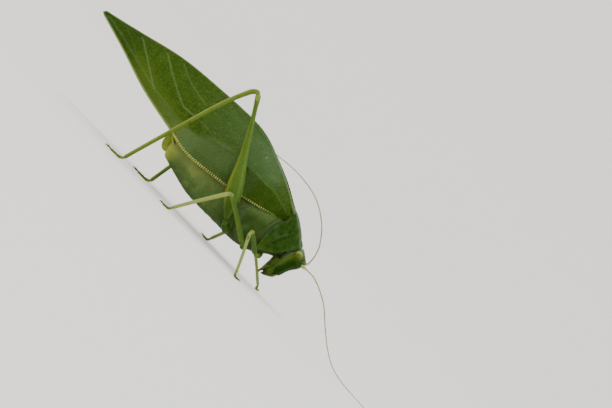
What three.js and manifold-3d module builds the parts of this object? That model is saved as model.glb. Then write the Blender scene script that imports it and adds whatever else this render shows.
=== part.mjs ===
// A leaf katydid (long horned grasshopper), life size, standing with its wings folded like a leaf.
// Millimetres. X points to the head, Y to the insect's left, Z up. The feet stand on Z = 0.
// The stations below count x from the point on the ground under the front of the face, and the
// finished group is shifted at the end, so that its box is centred on the origin.
import * as THREE from "three";
import { mergeVertices } from "three/addons/utils/BufferGeometryUtils.js";
import Module from "manifold-3d";

const wasm = await Module();
wasm.setup();

// Driving dimensions, in millimetres and degrees.

const left = 1;
const right = -1;

// Wings: height of the ridge and of the costal (lower) margin at each x, tail to head.
const tegmen = {
  thickness: 0.6,
  tipX: -51.8,
  ridge: [
    [-51.8, 15.25],
    [-45, 17.05],
    [-36.8, 19.05],
    [-27.7, 19.95],
    [-21.2, 20.25],
    [-18.2, 19.95],
    [-14.1, 18.6],
    [-10, 16.8],
    [-5.6, 14.4],
  ],
  margin: [
    [-51.8, 14.8],
    [-45, 12.9],
    [-37.7, 10.65],
    [-29.9, 9.15],
    [-25.5, 8.35],
    [-19.7, 8.85],
    [-13.2, 9.95],
    [-6.7, 11.75],
    [-5.6, 12.1],
  ],
  // how far the crease of the side field stands out, and how far down the side it lies
  creaseOut: [
    [-51.8, 0.48],
    [-45, 1.15],
    [-37, 2.0],
    [-28, 3.35],
    [-20, 3.9],
    [-12, 3.75],
    [-5.6, 3.05],
  ],
  creaseDown: [
    [-51.8, 0.8],
    [-36, 0.8],
    [-26, 0.7],
    [-20, 0.56],
    [-12, 0.48],
    [-5.6, 0.5],
  ],
  marginOut: [
    [-51.8, 0.48],
    [-45, 1.05],
    [-37, 1.75],
    [-28, 3.05],
    [-20, 3.6],
    [-12, 3.6],
    [-5.6, 3.2],
  ],
  // the front edge, which follows the notch behind the pronotum, from the ridge down
  base: [
    [0, -6.95],
    [0.2, -6.6],
    [0.5, -6.0],
    [1, -6.75],
  ],
  // the flat field along the back is there at the front and fades into a sharp ridge behind
  fieldWidth: 1.55,
  fieldFrom: 6.5,
  fieldTo: 19,
  fieldShare: 0.1,
  fieldDrop: 0.1,
  fieldInnerOut: 0.15,
  fieldSink: 0.05,
  ridgeOut: 0.45,
  ridgeDrop: 0.6,
  // towards the tip the ridge is no deeper than this share of the wing's height
  ridgeShare: 0.12,
  lengthSteps: 26,
  acrossSteps: 10,
};

const hindWing = {
  thickness: 0.5,
  upper: [
    [-47, 15.2],
    [-36, 16.6],
    [-24, 17.2],
    [-14.5, 14.6],
  ],
  lower: [
    [-47, 14.2],
    [-38, 12.2],
    [-29, 11.4],
    [-14.5, 12.9],
  ],
  rearX: -47,
  frontX: -14.5,
  lengthSteps: 14,
  acrossSteps: 3,
};

// Trunk: top, bottom and half width at each x.
const thoraxRings = {
  from: -13,
  to: -3.1,
  steps: 9,
  top: [
    [-13, 12.1],
    [-10, 12.5],
    [-6, 12.6],
    [-4, 11.6],
    [-3.1, 10.4],
  ],
  bottom: [
    [-13, 3.42],
    [-10, 3.35],
    [-7.3, 3.9],
    [-5, 5.0],
    [-3.9, 5.95],
    [-3.1, 6.5],
  ],
  wide: [
    [-13, 2.95],
    [-10, 3.0],
    [-7.3, 2.7],
    [-5, 1.95],
    [-3.1, 1.35],
  ],
};
const abdomenRings = {
  from: -27.6,
  to: -13.3,
  cutFrom: -20.9,
  cutTo: -20.6,
  rearSteps: 7,
  frontSteps: 5,
  top: [
    [-27.6, 8.7],
    [-24, 10.6],
    [-20, 11.5],
    [-13.3, 12.0],
  ],
  bottom: [
    [-27.6, 5.3],
    [-25.2, 4.62],
    [-22.4, 3.85],
    [-20, 3.45],
    [-13.3, 3.45],
  ],
  wide: [
    [-27.6, 1.25],
    [-24, 2.35],
    [-20, 2.8],
    [-13.3, 2.9],
  ],
};

// Pronotum: a saddle. Its front and rear edges run from the back (0) down to the lower margin (1).
const saddle = {
  thickness: 0.5,
  // how far the back bulges up halfway along, above the straight line from front to rear
  arch: 0.45,
  frontX: [
    [0, -0.85],
    [0.3, -1.2],
    [0.55, -1.95],
    [1, -3.5],
  ],
  frontZ: [
    [0, 11.25],
    [0.3, 10.55],
    [0.55, 9.25],
    [1, 7.0],
  ],
  rearX: [
    [0, -6.5],
    [0.25, -6.25],
    [0.42, -5.4],
    [0.6, -6.0],
    [0.78, -6.3],
    [0.9, -6.2],
    [1, -5.75],
  ],
  rearZ: [
    [0, 14.9],
    [0.25, 14.45],
    [0.42, 12.7],
    [0.6, 11.15],
    [0.78, 9.3],
    [0.9, 7.3],
    [1, 5.25],
  ],
  out: [
    [0, 0],
    [0.28, 1.9],
    [0.42, 2.4],
    [0.7, 2.95],
    [1, 2.75],
  ],
  frontNarrowing: 0.82,
  lengthSteps: 8,
  acrossSteps: 18,
};

// Head, in its own leaning frame: X to the face, Z to the crown.
const headFrame = { x: -0.6, z: 7.0, lean: THREE.MathUtils.degToRad(20.3) };
const headRings = {
  from: -2.3,
  to: 3.88,
  sides: 18,
  steps: 11,
  front: [
    [-2.3, 1.12],
    [-1.7, 1.4],
    [-0.5, 1.34],
    [0.4, 1.42],
    [1.8, 1.72],
    [2.8, 1.42],
    [3.4, 0.85],
    [3.88, -0.6],
  ],
  back: [
    [-2.3, -0.6],
    [-1.8, -0.95],
    [-0.83, -1.48],
    [-0.3, -1.62],
    [0.7, -1.93],
    [1.6, -2.05],
    [2.8, -1.75],
    [3.5, -1.42],
    [3.88, -0.95],
  ],
  wide: [
    [-2.3, 1.5],
    [-1.2, 1.95],
    [0, 2.2],
    [1.2, 2.2],
    [2.2, 1.95],
    [3.1, 1.45],
    [3.6, 0.9],
    [3.88, 0.25],
  ],
};
// The eye is an upright oval in life, so in the head's frame its long axis is tilted back.
const eye = {
  at: new THREE.Vector3(-0.26, 1.62, 2.66),
  radii: new THREE.Vector3(0.62, 0.72, 0.8),
  tilt: THREE.MathUtils.degToRad(-65.7),
  clearance: 0.12,
  sides: 12,
  rings: 8,
};

// Legs. Joints are [x, distance from the middle plane, z] in the insect's frame.
// Radii run from the body's end of the bone to the other.
const hindLegs = {
  hip: [-12.7, 4.6, 5.4],
  femurLength: 21.7,
  tibiaLength: 23.3,
  footLength: 3.8,
  coxaRadii: [0.62, 0.5],
  femurBow: [
    [0.25, 0.05, 0.15],
    [0.6, 0.15, 0.1],
  ],
  tibiaBow: [
    [0.2, -0.45, 0],
    [0.5, -0.35, 0],
  ],
};
const middleLegs = {
  hip: [-8.15, 3.35, 4.5],
  femurLength: 10.2,
  tibiaLength: 9.2,
  footLength: 2.6,
  coxaRadii: [0.5, 0.45],
  femurRadii: [0.52, 0.42],
  tibiaRadii: [0.4, 0.32],
  femurBow: [[0.5, 0, 0.1]],
  tibiaBow: [[0.5, -0.1, 0]],
};
const frontLegs = {
  hip: [-5.4, 3.15, 4.7],
  femurLength: 6.0,
  tibiaLength: 7.4,
  footLength: 2.3,
  coxaRadii: [0.5, 0.45],
  femurRadii: [0.48, 0.4],
  tibiaRadii: [0.36, 0.3],
  femurBow: [[0.5, 0, 0.1]],
  tibiaBow: [[0.5, 0.1, 0]],
};
const ankleHeight = 1.0;
const footRadius = 0.32;
const padSwell = 0.04;
const padCount = 3;
const soleDepth = 0.17;

// Feelers
const feelerRadius = 0.25;
const scapeRadius = 0.38;
const scapeShare = [0.12, 0.22];

// Small parts
const jaw = {
  at: new THREE.Vector3(-0.42, -0.76, -3.15),
  radii: new THREE.Vector3(0.35, 0.55, 0.75),
  sides: 10,
  rings: 7,
};
const palpRadius = 0.25;
const cercusRadius = 0.26;
const bladeHalfWidth = 0.42;

// Colours.

const colours = {
  shell: 0x4f7a30,
  skin: 0x4a6f2a,
  wing: 0x4f7534,
  hindWing: 0x9aa86a,
  leg: 0x7f9c4a,
  paleLeg: 0xb5bf80,
  foot: 0x8d8a4e,
  eye: 0xb9c178,
  feeler: 0xb9b070,
  mouth: 0x6d7f3a,
  blade: 0xa3ab52,
};
const shellFinish = { roughness: 0.5, metalness: 0 };
const eyeFinish = { roughness: 0.2, metalness: 0 };

// Helpers.

const insect = new THREE.Group();
const headGroup = new THREE.Group();
headGroup.position.set(headFrame.x, 0, headFrame.z);
headGroup.rotation.y = headFrame.lean;
insect.add(headGroup);

const lerp = THREE.MathUtils.lerp;
const clamp = THREE.MathUtils.clamp;
const smooth = THREE.MathUtils.smoothstep;

// A smooth value through a few stations [place, value], in rising order of place.
function along(stations) {
  const last = stations.length - 1;
  const slopes = stations.map((_, i) => {
    const [a, u] = stations[Math.max(i - 1, 0)];
    const [b, v] = stations[Math.min(i + 1, last)];
    return (v - u) / (b - a);
  });
  return (place) => {
    let i = 0;
    while (i < last - 1 && place > stations[i + 1][0]) {
      i += 1;
    }
    const [a, u] = stations[i];
    const [b, v] = stations[i + 1];
    const span = b - a;
    const t = clamp((place - a) / span, 0, 1);
    const bend = slopes[i] * (1 - t) - slopes[i + 1] * t;
    const straight = ((v - u) / span) * (2 * t - 1);
    return lerp(u, v, t) + t * (1 - t) * span * (bend + straight);
  };
}

// Moves every corner of a closed geometry by a function, and turns its faces outwards.
function warp(geometry, move) {
  const position = geometry.getAttribute("position");
  const corner = new THREE.Vector3();
  for (let i = 0; i < position.count; i += 1) {
    const moved = move(corner.fromBufferAttribute(position, i));
    position.setXYZ(i, moved.x, moved.y, moved.z);
  }
  geometry.deleteAttribute("normal");
  geometry.deleteAttribute("uv");
  const merged = mergeVertices(geometry, 1e-4);
  if (signedVolume(merged) < 0) {
    merged.index.array.reverse();
  }
  merged.computeVertexNormals();
  return merged;
}

function signedVolume(geometry) {
  const position = geometry.getAttribute("position");
  const index = geometry.index.array;
  const [a, b, c] = [new THREE.Vector3(), new THREE.Vector3(), new THREE.Vector3()];
  let volume = 0;
  for (let i = 0; i < index.length; i += 3) {
    a.fromBufferAttribute(position, index[i]);
    b.fromBufferAttribute(position, index[i + 1]);
    c.fromBufferAttribute(position, index[i + 2]);
    volume += a.dot(b.cross(c)) / 6;
  }
  return volume;
}

// Rings stacked along one axis, closed by a flat end at each side.
function stack({ from, to, sides, steps, ring }) {
  return warp(new THREE.CylinderGeometry(1, 1, 1, sides, steps), (corner) => {
    const place = lerp(from, to, corner.y + 0.5);
    return ring(place, corner.x, corner.z);
  });
}

// A limb: an oval section carried along a smooth path, with rounded ends.
// deep is the half size in the plane of the limb, wide the half size along the across direction.
function limb({ path, deep, wide = deep, across = [0, 1, 0], sides = 8, steps = 8, floor = null }) {
  const curve = new THREE.CatmullRomCurve3(path.map((p) => new THREE.Vector3(...p)));
  const length = curve.getLength();
  const sideways = new THREE.Vector3(...across);
  return warp(new THREE.CylinderGeometry(1, 1, 1, sides, steps), (corner) => {
    const share = (1 - Math.cos(Math.PI * (corner.y + 0.5))) / 2;
    const tangent = curve.getTangentAt(share);
    const side = sideways.clone().addScaledVector(tangent, -sideways.dot(tangent)).normalize();
    const upward = tangent.clone().cross(side);
    const end = Math.min(share, 1 - share) * length;
    const roundness = Math.sqrt(1 - (1 - clamp(end / deep(share), 0, 1)) ** 2);
    const size = lerp(0.45, 1, roundness);
    const point = curve.getPointAt(share);
    point.addScaledVector(upward, corner.x * deep(share) * size);
    point.addScaledVector(side, corner.z * wide(share) * size);
    if (floor !== null) {
      point.z = Math.max(point.z, floor);
    }
    return point;
  });
}

// A bent sheet of even thickness over a surface(s, t), with s and t from 0 to 1.
function sheet(surface, thickness, lengthSteps, acrossSteps) {
  const nudge = 1e-3;
  return warp(new THREE.BoxGeometry(1, 1, 1, lengthSteps, acrossSteps, 1), (corner) => {
    const s = corner.x + 0.5;
    const t = corner.y + 0.5;
    const alongS = surface(Math.min(s + nudge, 1), t).sub(surface(Math.max(s - nudge, 0), t));
    const alongT = surface(s, Math.min(t + nudge, 1)).sub(surface(s, Math.max(t - nudge, 0)));
    const normal = alongS.cross(alongT).normalize();
    return surface(s, t).addScaledVector(normal, corner.z * thickness);
  });
}

function ellipsoid(at, radii, sides, rings, tilt = 0) {
  const axis = new THREE.Vector3(0, 1, 0);
  const place = (corner) => corner.clone().multiply(radii).applyAxisAngle(axis, tilt).add(at);
  return warp(new THREE.SphereGeometry(1, sides, rings), place);
}

function toSolid(geometry) {
  const vertProperties = new Float32Array(geometry.getAttribute("position").array);
  const triVerts = new Uint32Array(geometry.index.array);
  return new wasm.Manifold(new wasm.Mesh({ numProp: 3, vertProperties, triVerts }));
}

function cutAway(geometry, cutters) {
  const cut = cutters.reduce((body, cutter) => body.subtract(toSolid(cutter)), toSolid(geometry));
  const mesh = cut.getMesh();
  const result = new THREE.BufferGeometry();
  result.setAttribute("position", new THREE.BufferAttribute(mesh.vertProperties, 3));
  result.setIndex(new THREE.BufferAttribute(mesh.triVerts, 1));
  result.computeVertexNormals();
  return result;
}

function add(name, geometry, colour, group = insect, finish = shellFinish) {
  const mesh = new THREE.Mesh(geometry, new THREE.MeshStandardMaterial({ color: colour, ...finish }));
  mesh.name = name;
  group.add(mesh);
  return mesh;
}

// The same geometry on both sides: the left one is the right one mirrored in the middle plane.
function addPair(name, geometry, colour, group = insect, finish = shellFinish) {
  add(name + "_right", geometry, colour, group, finish);
  add(name + "_left", geometry, colour, group, finish).scale.y = -1;
}

// Head.

// A ring across the head, from the face (front) to the back, at a height in the head's frame.
function headRing(rings) {
  const front = along(rings.front);
  const back = along(rings.back);
  const wide = along(rings.wide);
  return (height, towardsFace, sideways) => {
    const middle = (front(height) + back(height)) / 2;
    const depth = (front(height) - back(height)) / 2;
    return new THREE.Vector3(middle + depth * towardsFace, wide(height) * sideways, height);
  };
}

const skull = stack({ ...headRings, ring: headRing(headRings) });
const mirrorY = new THREE.Vector3(1, -1, 1);
const eyeRight = eye.at.clone().multiply(mirrorY);
const socketRadii = eye.radii.clone().addScalar(eye.clearance);
const sockets = [eye.at, eyeRight].map((at) => ellipsoid(at, socketRadii, eye.sides, eye.rings, eye.tilt));
add("head", cutAway(skull, sockets), colours.shell, headGroup);
const eyeball = ellipsoid(eyeRight, eye.radii, eye.sides, eye.rings, eye.tilt);
addPair("eye", eyeball, colours.eye, headGroup, eyeFinish);

// The upper lip closes the front of the mouth.
const lipRings = {
  from: -2.45,
  to: -4.38,
  sides: 12,
  steps: 5,
  front: [
    [-4.38, -0.22],
    [-3.89, 0.38],
    [-2.89, 1.18],
    [-2.45, 1.22],
  ],
  back: [
    [-4.38, -0.58],
    [-3.63, -0.22],
    [-2.56, 0.42],
    [-2.45, 0.45],
  ],
  wide: [
    [-4.38, 0.4],
    [-3.8, 0.85],
    [-2.45, 1.1],
  ],
};
const lip = stack({ ...lipRings, ring: headRing(lipRings) });
add("labrum", lip, colours.mouth, headGroup);

// A jaw stands behind each side of the lip, and the lower lip with the maxillae closes the back.
addPair("mandible", ellipsoid(jaw.at, jaw.radii, jaw.sides, jaw.rings), colours.mouth, headGroup);
const lowerLipRings = {
  from: -1.4,
  to: -4.2,
  sides: 12,
  steps: 6,
  front: [
    [-4.2, -0.8],
    [-2.6, -0.9],
    [-1.8, -1.32],
    [-1.4, -1.6],
  ],
  back: [
    [-4.2, -1.05],
    [-3.9, -1.14],
    [-3.2, -1.4],
    [-2.14, -1.74],
    [-1.4, -1.98],
  ],
  wide: [
    [-4.2, 0.5],
    [-3.6, 0.95],
    [-2.4, 1.25],
    [-1.4, 1.2],
  ],
};
const lowerLip = stack({ ...lowerLipRings, ring: headRing(lowerLipRings) });
add("labium", lowerLip, colours.mouth, headGroup);
const palpPath = [
  [-2.35, -1.5, 4.7],
  [-2.95, -1.6, 3.9],
  [-3.15, -1.35, 3.05],
];
addPair("palp", limb({ path: palpPath, deep: () => palpRadius, sides: 6, steps: 5 }), colours.mouth);

// Feelers.

// Each feeler is cut into three lengths. The right one comes down to the ground ahead of the
// insect, and the left one curves up and back over its shoulder.
const feelerPaths = {
  right: [
    [
      [1.82, -0.66, 8.93],
      [2.5, -0.85, 8.88],
      [4.3, -1.35, 8.86],
      [6.3, -2.0, 8.2],
    ],
    [
      [6.55, -2.08, 8.06],
      [8.7, -2.8, 6.9],
      [11.7, -3.9, 4.35],
      [14.7, -5.2, 2.05],
    ],
    [
      [14.95, -5.32, 1.88],
      [17.2, -6.5, 0.72],
      [20.0, -8.4, feelerRadius],
      [23.0, -10.8, feelerRadius],
      [25.8, -13.5, feelerRadius],
    ],
  ],
  left: [
    [
      [1.85, 0.66, 9.0],
      [2.2, 0.98, 9.9],
      [2.05, 1.35, 11.2],
      [1.25, 2.2, 13.3],
    ],
    [
      [1.12, 2.32, 13.55],
      [-1.2, 3.6, 16.1],
      [-4.6, 5.0, 18.15],
      [-8.4, 6.1, 18.95],
    ],
    [
      [-8.7, 6.18, 18.98],
      [-12.5, 7.1, 18.9],
      [-16.5, 8.0, 18.2],
      [-20.6, 8.8, 16.9],
    ],
  ],
};
for (const [side, lengths] of Object.entries(feelerPaths)) {
  lengths.forEach((path, i) => {
    const swell = i === 0 ? scapeRadius - feelerRadius : 0;
    const deep = (share) => feelerRadius + swell * (1 - smooth(share, ...scapeShare));
    const geometry = limb({ path, deep, sides: 6, steps: 8, floor: 0 });
    add("antenna_" + side + "_" + (i + 1), geometry, colours.feeler);
  });
}

// Pronotum and trunk.

const saddleCurves = Object.fromEntries(
  ["frontX", "frontZ", "rearX", "rearZ", "out"].map((key) => [key, along(saddle[key])]),
);

function saddleSurface(s, t) {
  const across = 2 * t - 1;
  const down = Math.abs(across);
  const narrowing = lerp(saddle.frontNarrowing, 1, s);
  const hill = 4 * s * (1 - s); // 0 at both ends and 1 halfway
  return new THREE.Vector3(
    lerp(saddleCurves.frontX(down), saddleCurves.rearX(down), s),
    Math.sign(across) * saddleCurves.out(down) * narrowing,
    lerp(saddleCurves.frontZ(down), saddleCurves.rearZ(down), s) + saddle.arch * hill * (1 - down),
  );
}

const pronotum = sheet(saddleSurface, saddle.thickness, saddle.lengthSteps, saddle.acrossSteps);
add("pronotum", pronotum, colours.shell);

// A ring across the trunk: oval, a little fuller than an ellipse.
function trunkRing(rings) {
  const top = along(rings.top);
  const bottom = along(rings.bottom);
  const wide = along(rings.wide);
  return (x, upward, sideways) => {
    const middle = (top(x) + bottom(x)) / 2;
    const height = (top(x) - bottom(x)) / 2;
    return new THREE.Vector3(x, wide(x) * sideways, middle + height * upward);
  };
}

function trunkPart(name, rings, from, to, steps) {
  const geometry = stack({ from, to, sides: 18, steps, ring: trunkRing(rings) });
  add(name, geometry, colours.skin);
}

trunkPart("thorax", thoraxRings, thoraxRings.from, thoraxRings.to, thoraxRings.steps);
trunkPart("abdomen_front", abdomenRings, abdomenRings.cutTo, abdomenRings.to, abdomenRings.frontSteps);
trunkPart("abdomen_rear", abdomenRings, abdomenRings.from, abdomenRings.cutFrom, abdomenRings.rearSteps);

// The short egg-laying blade curves up between the wings.
const bladePath = [
  [-28.05, 0, 6.4],
  [-28.65, 0, 7.1],
  [-28.75, 0, 8.1],
  [-28.4, 0, 9.2],
  [-27.9, 0, 10.1],
];
const bladeDeep = along([
  [0, 1.05],
  [0.3, 0.98],
  [0.7, 0.75],
  [1, 0.35],
]);
const blade = limb({ path: bladePath, deep: bladeDeep, wide: () => bladeHalfWidth, sides: 10, steps: 8 });
add("ovipositor", blade, colours.blade);
const cercusPath = [
  [-28.0, -1.0, 8.1],
  [-28.7, -1.15, 8.5],
  [-29.1, -1.15, 9.2],
];
addPair("cercus", limb({ path: cercusPath, deep: () => cercusRadius, sides: 6, steps: 4 }), colours.skin);

// Wings.

const wing = Object.fromEntries(
  ["ridge", "margin", "creaseOut", "creaseDown", "marginOut", "base"].map((key) => [key, along(tegmen[key])]),
);

// The middle of the right wing's thickness. s runs from the base to the tip. t runs from the
// ridge over a flat back field and down the side to the costal margin.
function tegmenSurface(s, t) {
  const x = lerp(wing.base(t), tegmen.tipX, s);
  const flatness = 1 - smooth(-x, tegmen.fieldFrom, tegmen.fieldTo);
  const cornerOut = tegmen.ridgeOut + tegmen.fieldWidth * flatness;
  const innerOut = lerp(tegmen.ridgeOut, tegmen.fieldInnerOut, flatness);
  const ridgeZ = wing.ridge(x) - tegmen.fieldSink * flatness;
  const deepest = tegmen.ridgeShare * (ridgeZ - wing.margin(x));
  const cornerDrop = Math.min(lerp(tegmen.ridgeDrop, tegmen.fieldDrop, flatness), deepest);
  if (t < tegmen.fieldShare) {
    const share = t / tegmen.fieldShare;
    return new THREE.Vector3(x, -lerp(innerOut, cornerOut, share), ridgeZ - cornerDrop * share);
  }
  const down = (t - tegmen.fieldShare) / (1 - tegmen.fieldShare);
  const crease = wing.creaseDown(x);
  const bow = Math.sin((Math.PI / 2) * Math.min(down / crease, 1));
  const tuck = smooth(down, crease, 1);
  const out = lerp(lerp(cornerOut, wing.creaseOut(x), bow), wing.marginOut(x), tuck);
  return new THREE.Vector3(x, -out, lerp(ridgeZ - cornerDrop, wing.margin(x), down));
}

const wingSheet = sheet(tegmenSurface, tegmen.thickness, tegmen.lengthSteps, tegmen.acrossSteps);
addPair("tegmen", wingSheet, colours.wing);

// The folded hind wings lie between the two tegmina as one upright blade.
const hindUpper = along(hindWing.upper);
const hindLower = along(hindWing.lower);
function hindSurface(s, t) {
  const x = lerp(hindWing.rearX, hindWing.frontX, s);
  return new THREE.Vector3(x, 0, lerp(hindLower(x), hindUpper(x), t));
}
const fan = sheet(hindSurface, hindWing.thickness, hindWing.lengthSteps, hindWing.acrossSteps);
add("hindwings_folded", fan, colours.hindWing);

// Legs.

// The far end of a bone whose x and z are known: its distance from the middle plane comes from
// the bone's length. outward is 1 where the bone leads away from the body and -1 where it leads in.
function reach(start, x, z, length, outward = 1) {
  const side = Math.sign(start[1]);
  const inPlane = Math.hypot(x - start[0], z - start[2]);
  const sideways = Math.sqrt(Math.max(length ** 2 - inPlane ** 2, 0));
  return [x, start[1] + side * outward * sideways, z];
}

// A bone's route from a to b. Each bow is [share of the way, shift in x, shift in z].
function bowed(a, b, bows) {
  const bends = bows.map(([share, bowX, bowZ]) => [
    lerp(a[0], b[0], share) + bowX,
    lerp(a[1], b[1], share),
    lerp(a[2], b[2], share) + bowZ,
  ]);
  return [a, ...bends, b];
}

// A foot: a row of pads cut flat at the ground, so that its sole is one flat face.
function foot(ankle, heading, length) {
  const angle = THREE.MathUtils.degToRad(heading);
  const tip = [ankle[0] + length * Math.cos(angle), ankle[1] + length * Math.sin(angle)];
  const pads = (share) => footRadius + padSwell * Math.cos(2 * padCount * Math.PI * share);
  return limb({
    path: [
      [ankle[0], ankle[1], soleDepth],
      [(ankle[0] + tip[0]) / 2, (ankle[1] + tip[1]) / 2, soleDepth],
      [tip[0], tip[1], soleDepth],
    ],
    deep: pads,
    wide: pads,
    across: [0, 0, 1],
    steps: 7,
    floor: 0,
  });
}

function addLeg(name, side, bones) {
  const suffix = side === left ? "_left" : "_right";
  add("coxa_" + name + suffix, limb(bones.coxa), colours.skin);
  add("femur_" + name + suffix, limb(bones.femur), colours.leg);
  add("tibia_" + name + suffix, limb(bones.tibia), colours.paleLeg);
  add("tarsus_" + name + suffix, foot(...bones.foot), colours.foot);
}

// The joints of one leg. knee is [x, z], tibiaTop is [x, y, z] from the knee, and ankle is an x.
function placeLeg(leg, side, knee, tibiaTop, ankle, outward = 1) {
  const hip = [leg.hip[0], side * leg.hip[1], leg.hip[2]];
  const kneeAt = reach(hip, knee[0], knee[1], leg.femurLength);
  const top = [kneeAt[0] + tibiaTop[0], kneeAt[1] + side * tibiaTop[1], kneeAt[2] + tibiaTop[2]];
  const ankleAt = reach(top, ankle, ankleHeight, leg.tibiaLength, outward);
  return { thigh: bowed(hip, kneeAt, leg.femurBow), shin: bowed(top, ankleAt, leg.tibiaBow), ankleAt };
}

const tapered = ([thick, thin]) => (share) => lerp(thick, thin, share);
const mirrored = (path, side) => path.map(([x, y, z]) => [x, side * y, z]);

const hindFemurDeep = along([
  [0, 0.7],
  [0.06, 0.95],
  [0.12, 1.28],
  [0.2, 1.43],
  [0.3, 1.36],
  [0.42, 0.98],
  [0.55, 0.68],
  [0.7, 0.47],
  [0.88, 0.4],
  [1, 0.5],
]);
const hindFemurWide = (share) => 0.2 + 0.44 * hindFemurDeep(share);
const hindTibiaDeep = along([
  [0, 0.5],
  [0.1, 0.46],
  [0.7, 0.4],
  [1, 0.34],
]);
const hindCoxa = [
  [-11.6, 3.0, 4.1],
  [-12.05, 3.5, 4.4],
  [-12.35, 3.75, 4.7],
];

function hindLeg(side, knee, tibiaTop, ankle, heading, outward) {
  const { thigh, shin, ankleAt } = placeLeg(hindLegs, side, knee, tibiaTop, ankle, outward);
  addLeg("hind", side, {
    coxa: { path: mirrored(hindCoxa, side), deep: tapered(hindLegs.coxaRadii), steps: 3 },
    femur: { path: thigh, deep: hindFemurDeep, wide: hindFemurWide, steps: 13 },
    tibia: { path: shin, deep: hindTibiaDeep, steps: 9 },
    foot: [ankleAt, heading, hindLegs.footLength],
  });
}
hindLeg(right, [-23.6, 23.85], [-1.1, 0, -0.5], -31.75, 197, 1);
hindLeg(left, [-22.3, 18.6], [-0.95, 0, -0.45], -26.3, 168, -1);

// The front and middle hips run sideways, so their width is measured along the body.
const lengthwise = [1, 0, 0];

// A middle or front leg. across is the direction in which the femur is measured for its width.
function slimLeg(name, leg, coxa, side, knee, tibiaTop, ankle, heading, outward, across) {
  const { thigh, shin, ankleAt } = placeLeg(leg, side, knee, tibiaTop, ankle, outward);
  addLeg(name, side, {
    coxa: { path: mirrored(coxa, side), deep: tapered(leg.coxaRadii), across: lengthwise, steps: 3 },
    femur: { path: thigh, deep: tapered(leg.femurRadii), across },
    tibia: { path: shin, deep: tapered(leg.tibiaRadii) },
    foot: [ankleAt, heading, leg.footLength],
  });
}

const middleCoxa = [
  [-7.55, 2.2, 4.05],
  [-7.75, 2.45, 4.1],
  [-7.9, 2.7, 4.2],
];
const middleLeg = (...pose) => slimLeg("middle", middleLegs, middleCoxa, ...pose);
middleLeg(right, [-15.1, 9.15], [-0.55, 0.3, -0.75], -20.2, 215, 1, [0, 1, 0]);
middleLeg(left, [-9.0, 9.3], [-0.35, 0.4, -0.75], -12.4, 130, -1, [1, 0, 0]);

const frontCoxa = [
  [-5.0, 1.75, 4.95],
  [-4.9, 2.1, 4.85],
  [-4.8, 2.45, 4.75],
];
const frontLeg = (...pose) => slimLeg("front", frontLegs, frontCoxa, ...pose);
frontLeg(right, [-8.3, 7.2], [0.1, 0.35, -0.75], -5.3, 305, 1, [1, 0, 0]);
frontLeg(left, [-7.35, 6.15], [0.55, 0.35, -0.65], -1.1, 75, 1, [1, 0, 0]);

// The whole insect, with its box centred on the origin and its soles on the ground.

const box = new THREE.Box3().setFromObject(insect);
const middle = box.getCenter(new THREE.Vector3());
insect.position.set(-middle.x, -middle.y, 0);
const katydid = new THREE.Group();
katydid.add(insect);

export default katydid;
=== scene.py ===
import bpy
import bmesh
import random
from math import acos, atan2, copysign, cos, exp, hypot, pi, radians, sin, sqrt, tau
from mathutils import Matrix, Vector, noise


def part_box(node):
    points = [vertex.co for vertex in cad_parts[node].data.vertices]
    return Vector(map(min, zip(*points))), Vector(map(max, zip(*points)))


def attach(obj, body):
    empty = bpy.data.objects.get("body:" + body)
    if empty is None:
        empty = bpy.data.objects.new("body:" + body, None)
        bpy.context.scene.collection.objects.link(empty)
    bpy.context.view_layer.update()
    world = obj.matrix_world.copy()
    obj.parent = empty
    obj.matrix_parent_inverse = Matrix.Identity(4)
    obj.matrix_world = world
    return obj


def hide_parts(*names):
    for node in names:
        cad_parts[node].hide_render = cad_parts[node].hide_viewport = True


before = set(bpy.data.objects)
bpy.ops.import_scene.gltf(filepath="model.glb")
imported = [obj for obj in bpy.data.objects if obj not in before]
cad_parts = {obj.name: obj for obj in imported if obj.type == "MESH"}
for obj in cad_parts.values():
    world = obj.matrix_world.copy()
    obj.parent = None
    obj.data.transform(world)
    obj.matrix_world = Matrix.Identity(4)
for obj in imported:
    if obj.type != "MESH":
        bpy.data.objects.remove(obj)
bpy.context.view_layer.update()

# The insect is modelled in millimetres: x to the head, y to its left, z up from the soles,
# counted from the ground under the front of the face. toFrame takes that into the frame.
thoraxRear = -13
thoraxLow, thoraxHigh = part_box("thorax")
groundPoint = Vector((thoraxLow.x - thoraxRear / 1000, (thoraxLow.y + thoraxHigh.y) / 2, 0))
toFrame = Matrix.Translation(groundPoint) @ Matrix.Scale(0.001, 4)
left = 1
right = -1
sideNames = {right: "right", left: "left"}
tintNames = ("pale", "dark", "warm", "blue", "comb")


# small helpers

def lerp(a, b, share):
    return a + (b - a) * share


def clamp(value, low=0.0, high=1.0):
    return min(max(value, low), high)


def ease(value, low, high):  # 0 at low, 1 at high, smooth between
    share = clamp((value - low) / (high - low))
    return share * share * (3 - 2 * share)


def hump(distance, width):  # 1 at no distance, falling smoothly to 0 at width
    share = clamp(abs(distance) / width)
    return (1 - share * share) ** 2


def dome(distance, span):  # the profile of a round end: 0 at the end, 1 from span inwards
    return sqrt(1 - (1 - clamp(distance / span)) ** 2)


def cloudAt(x, y, z):
    return noise.noise(Vector((x, y, z)))


def totalLift(heights, **amounts):  # each feature's height, times how much of it is here
    return sum(heights[key] * amount for key, amount in amounts.items())


def mirrored(points, side):  # points of the left side, for either side
    return [Vector((x, side * y, z)) for x, y, z in points]


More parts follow.
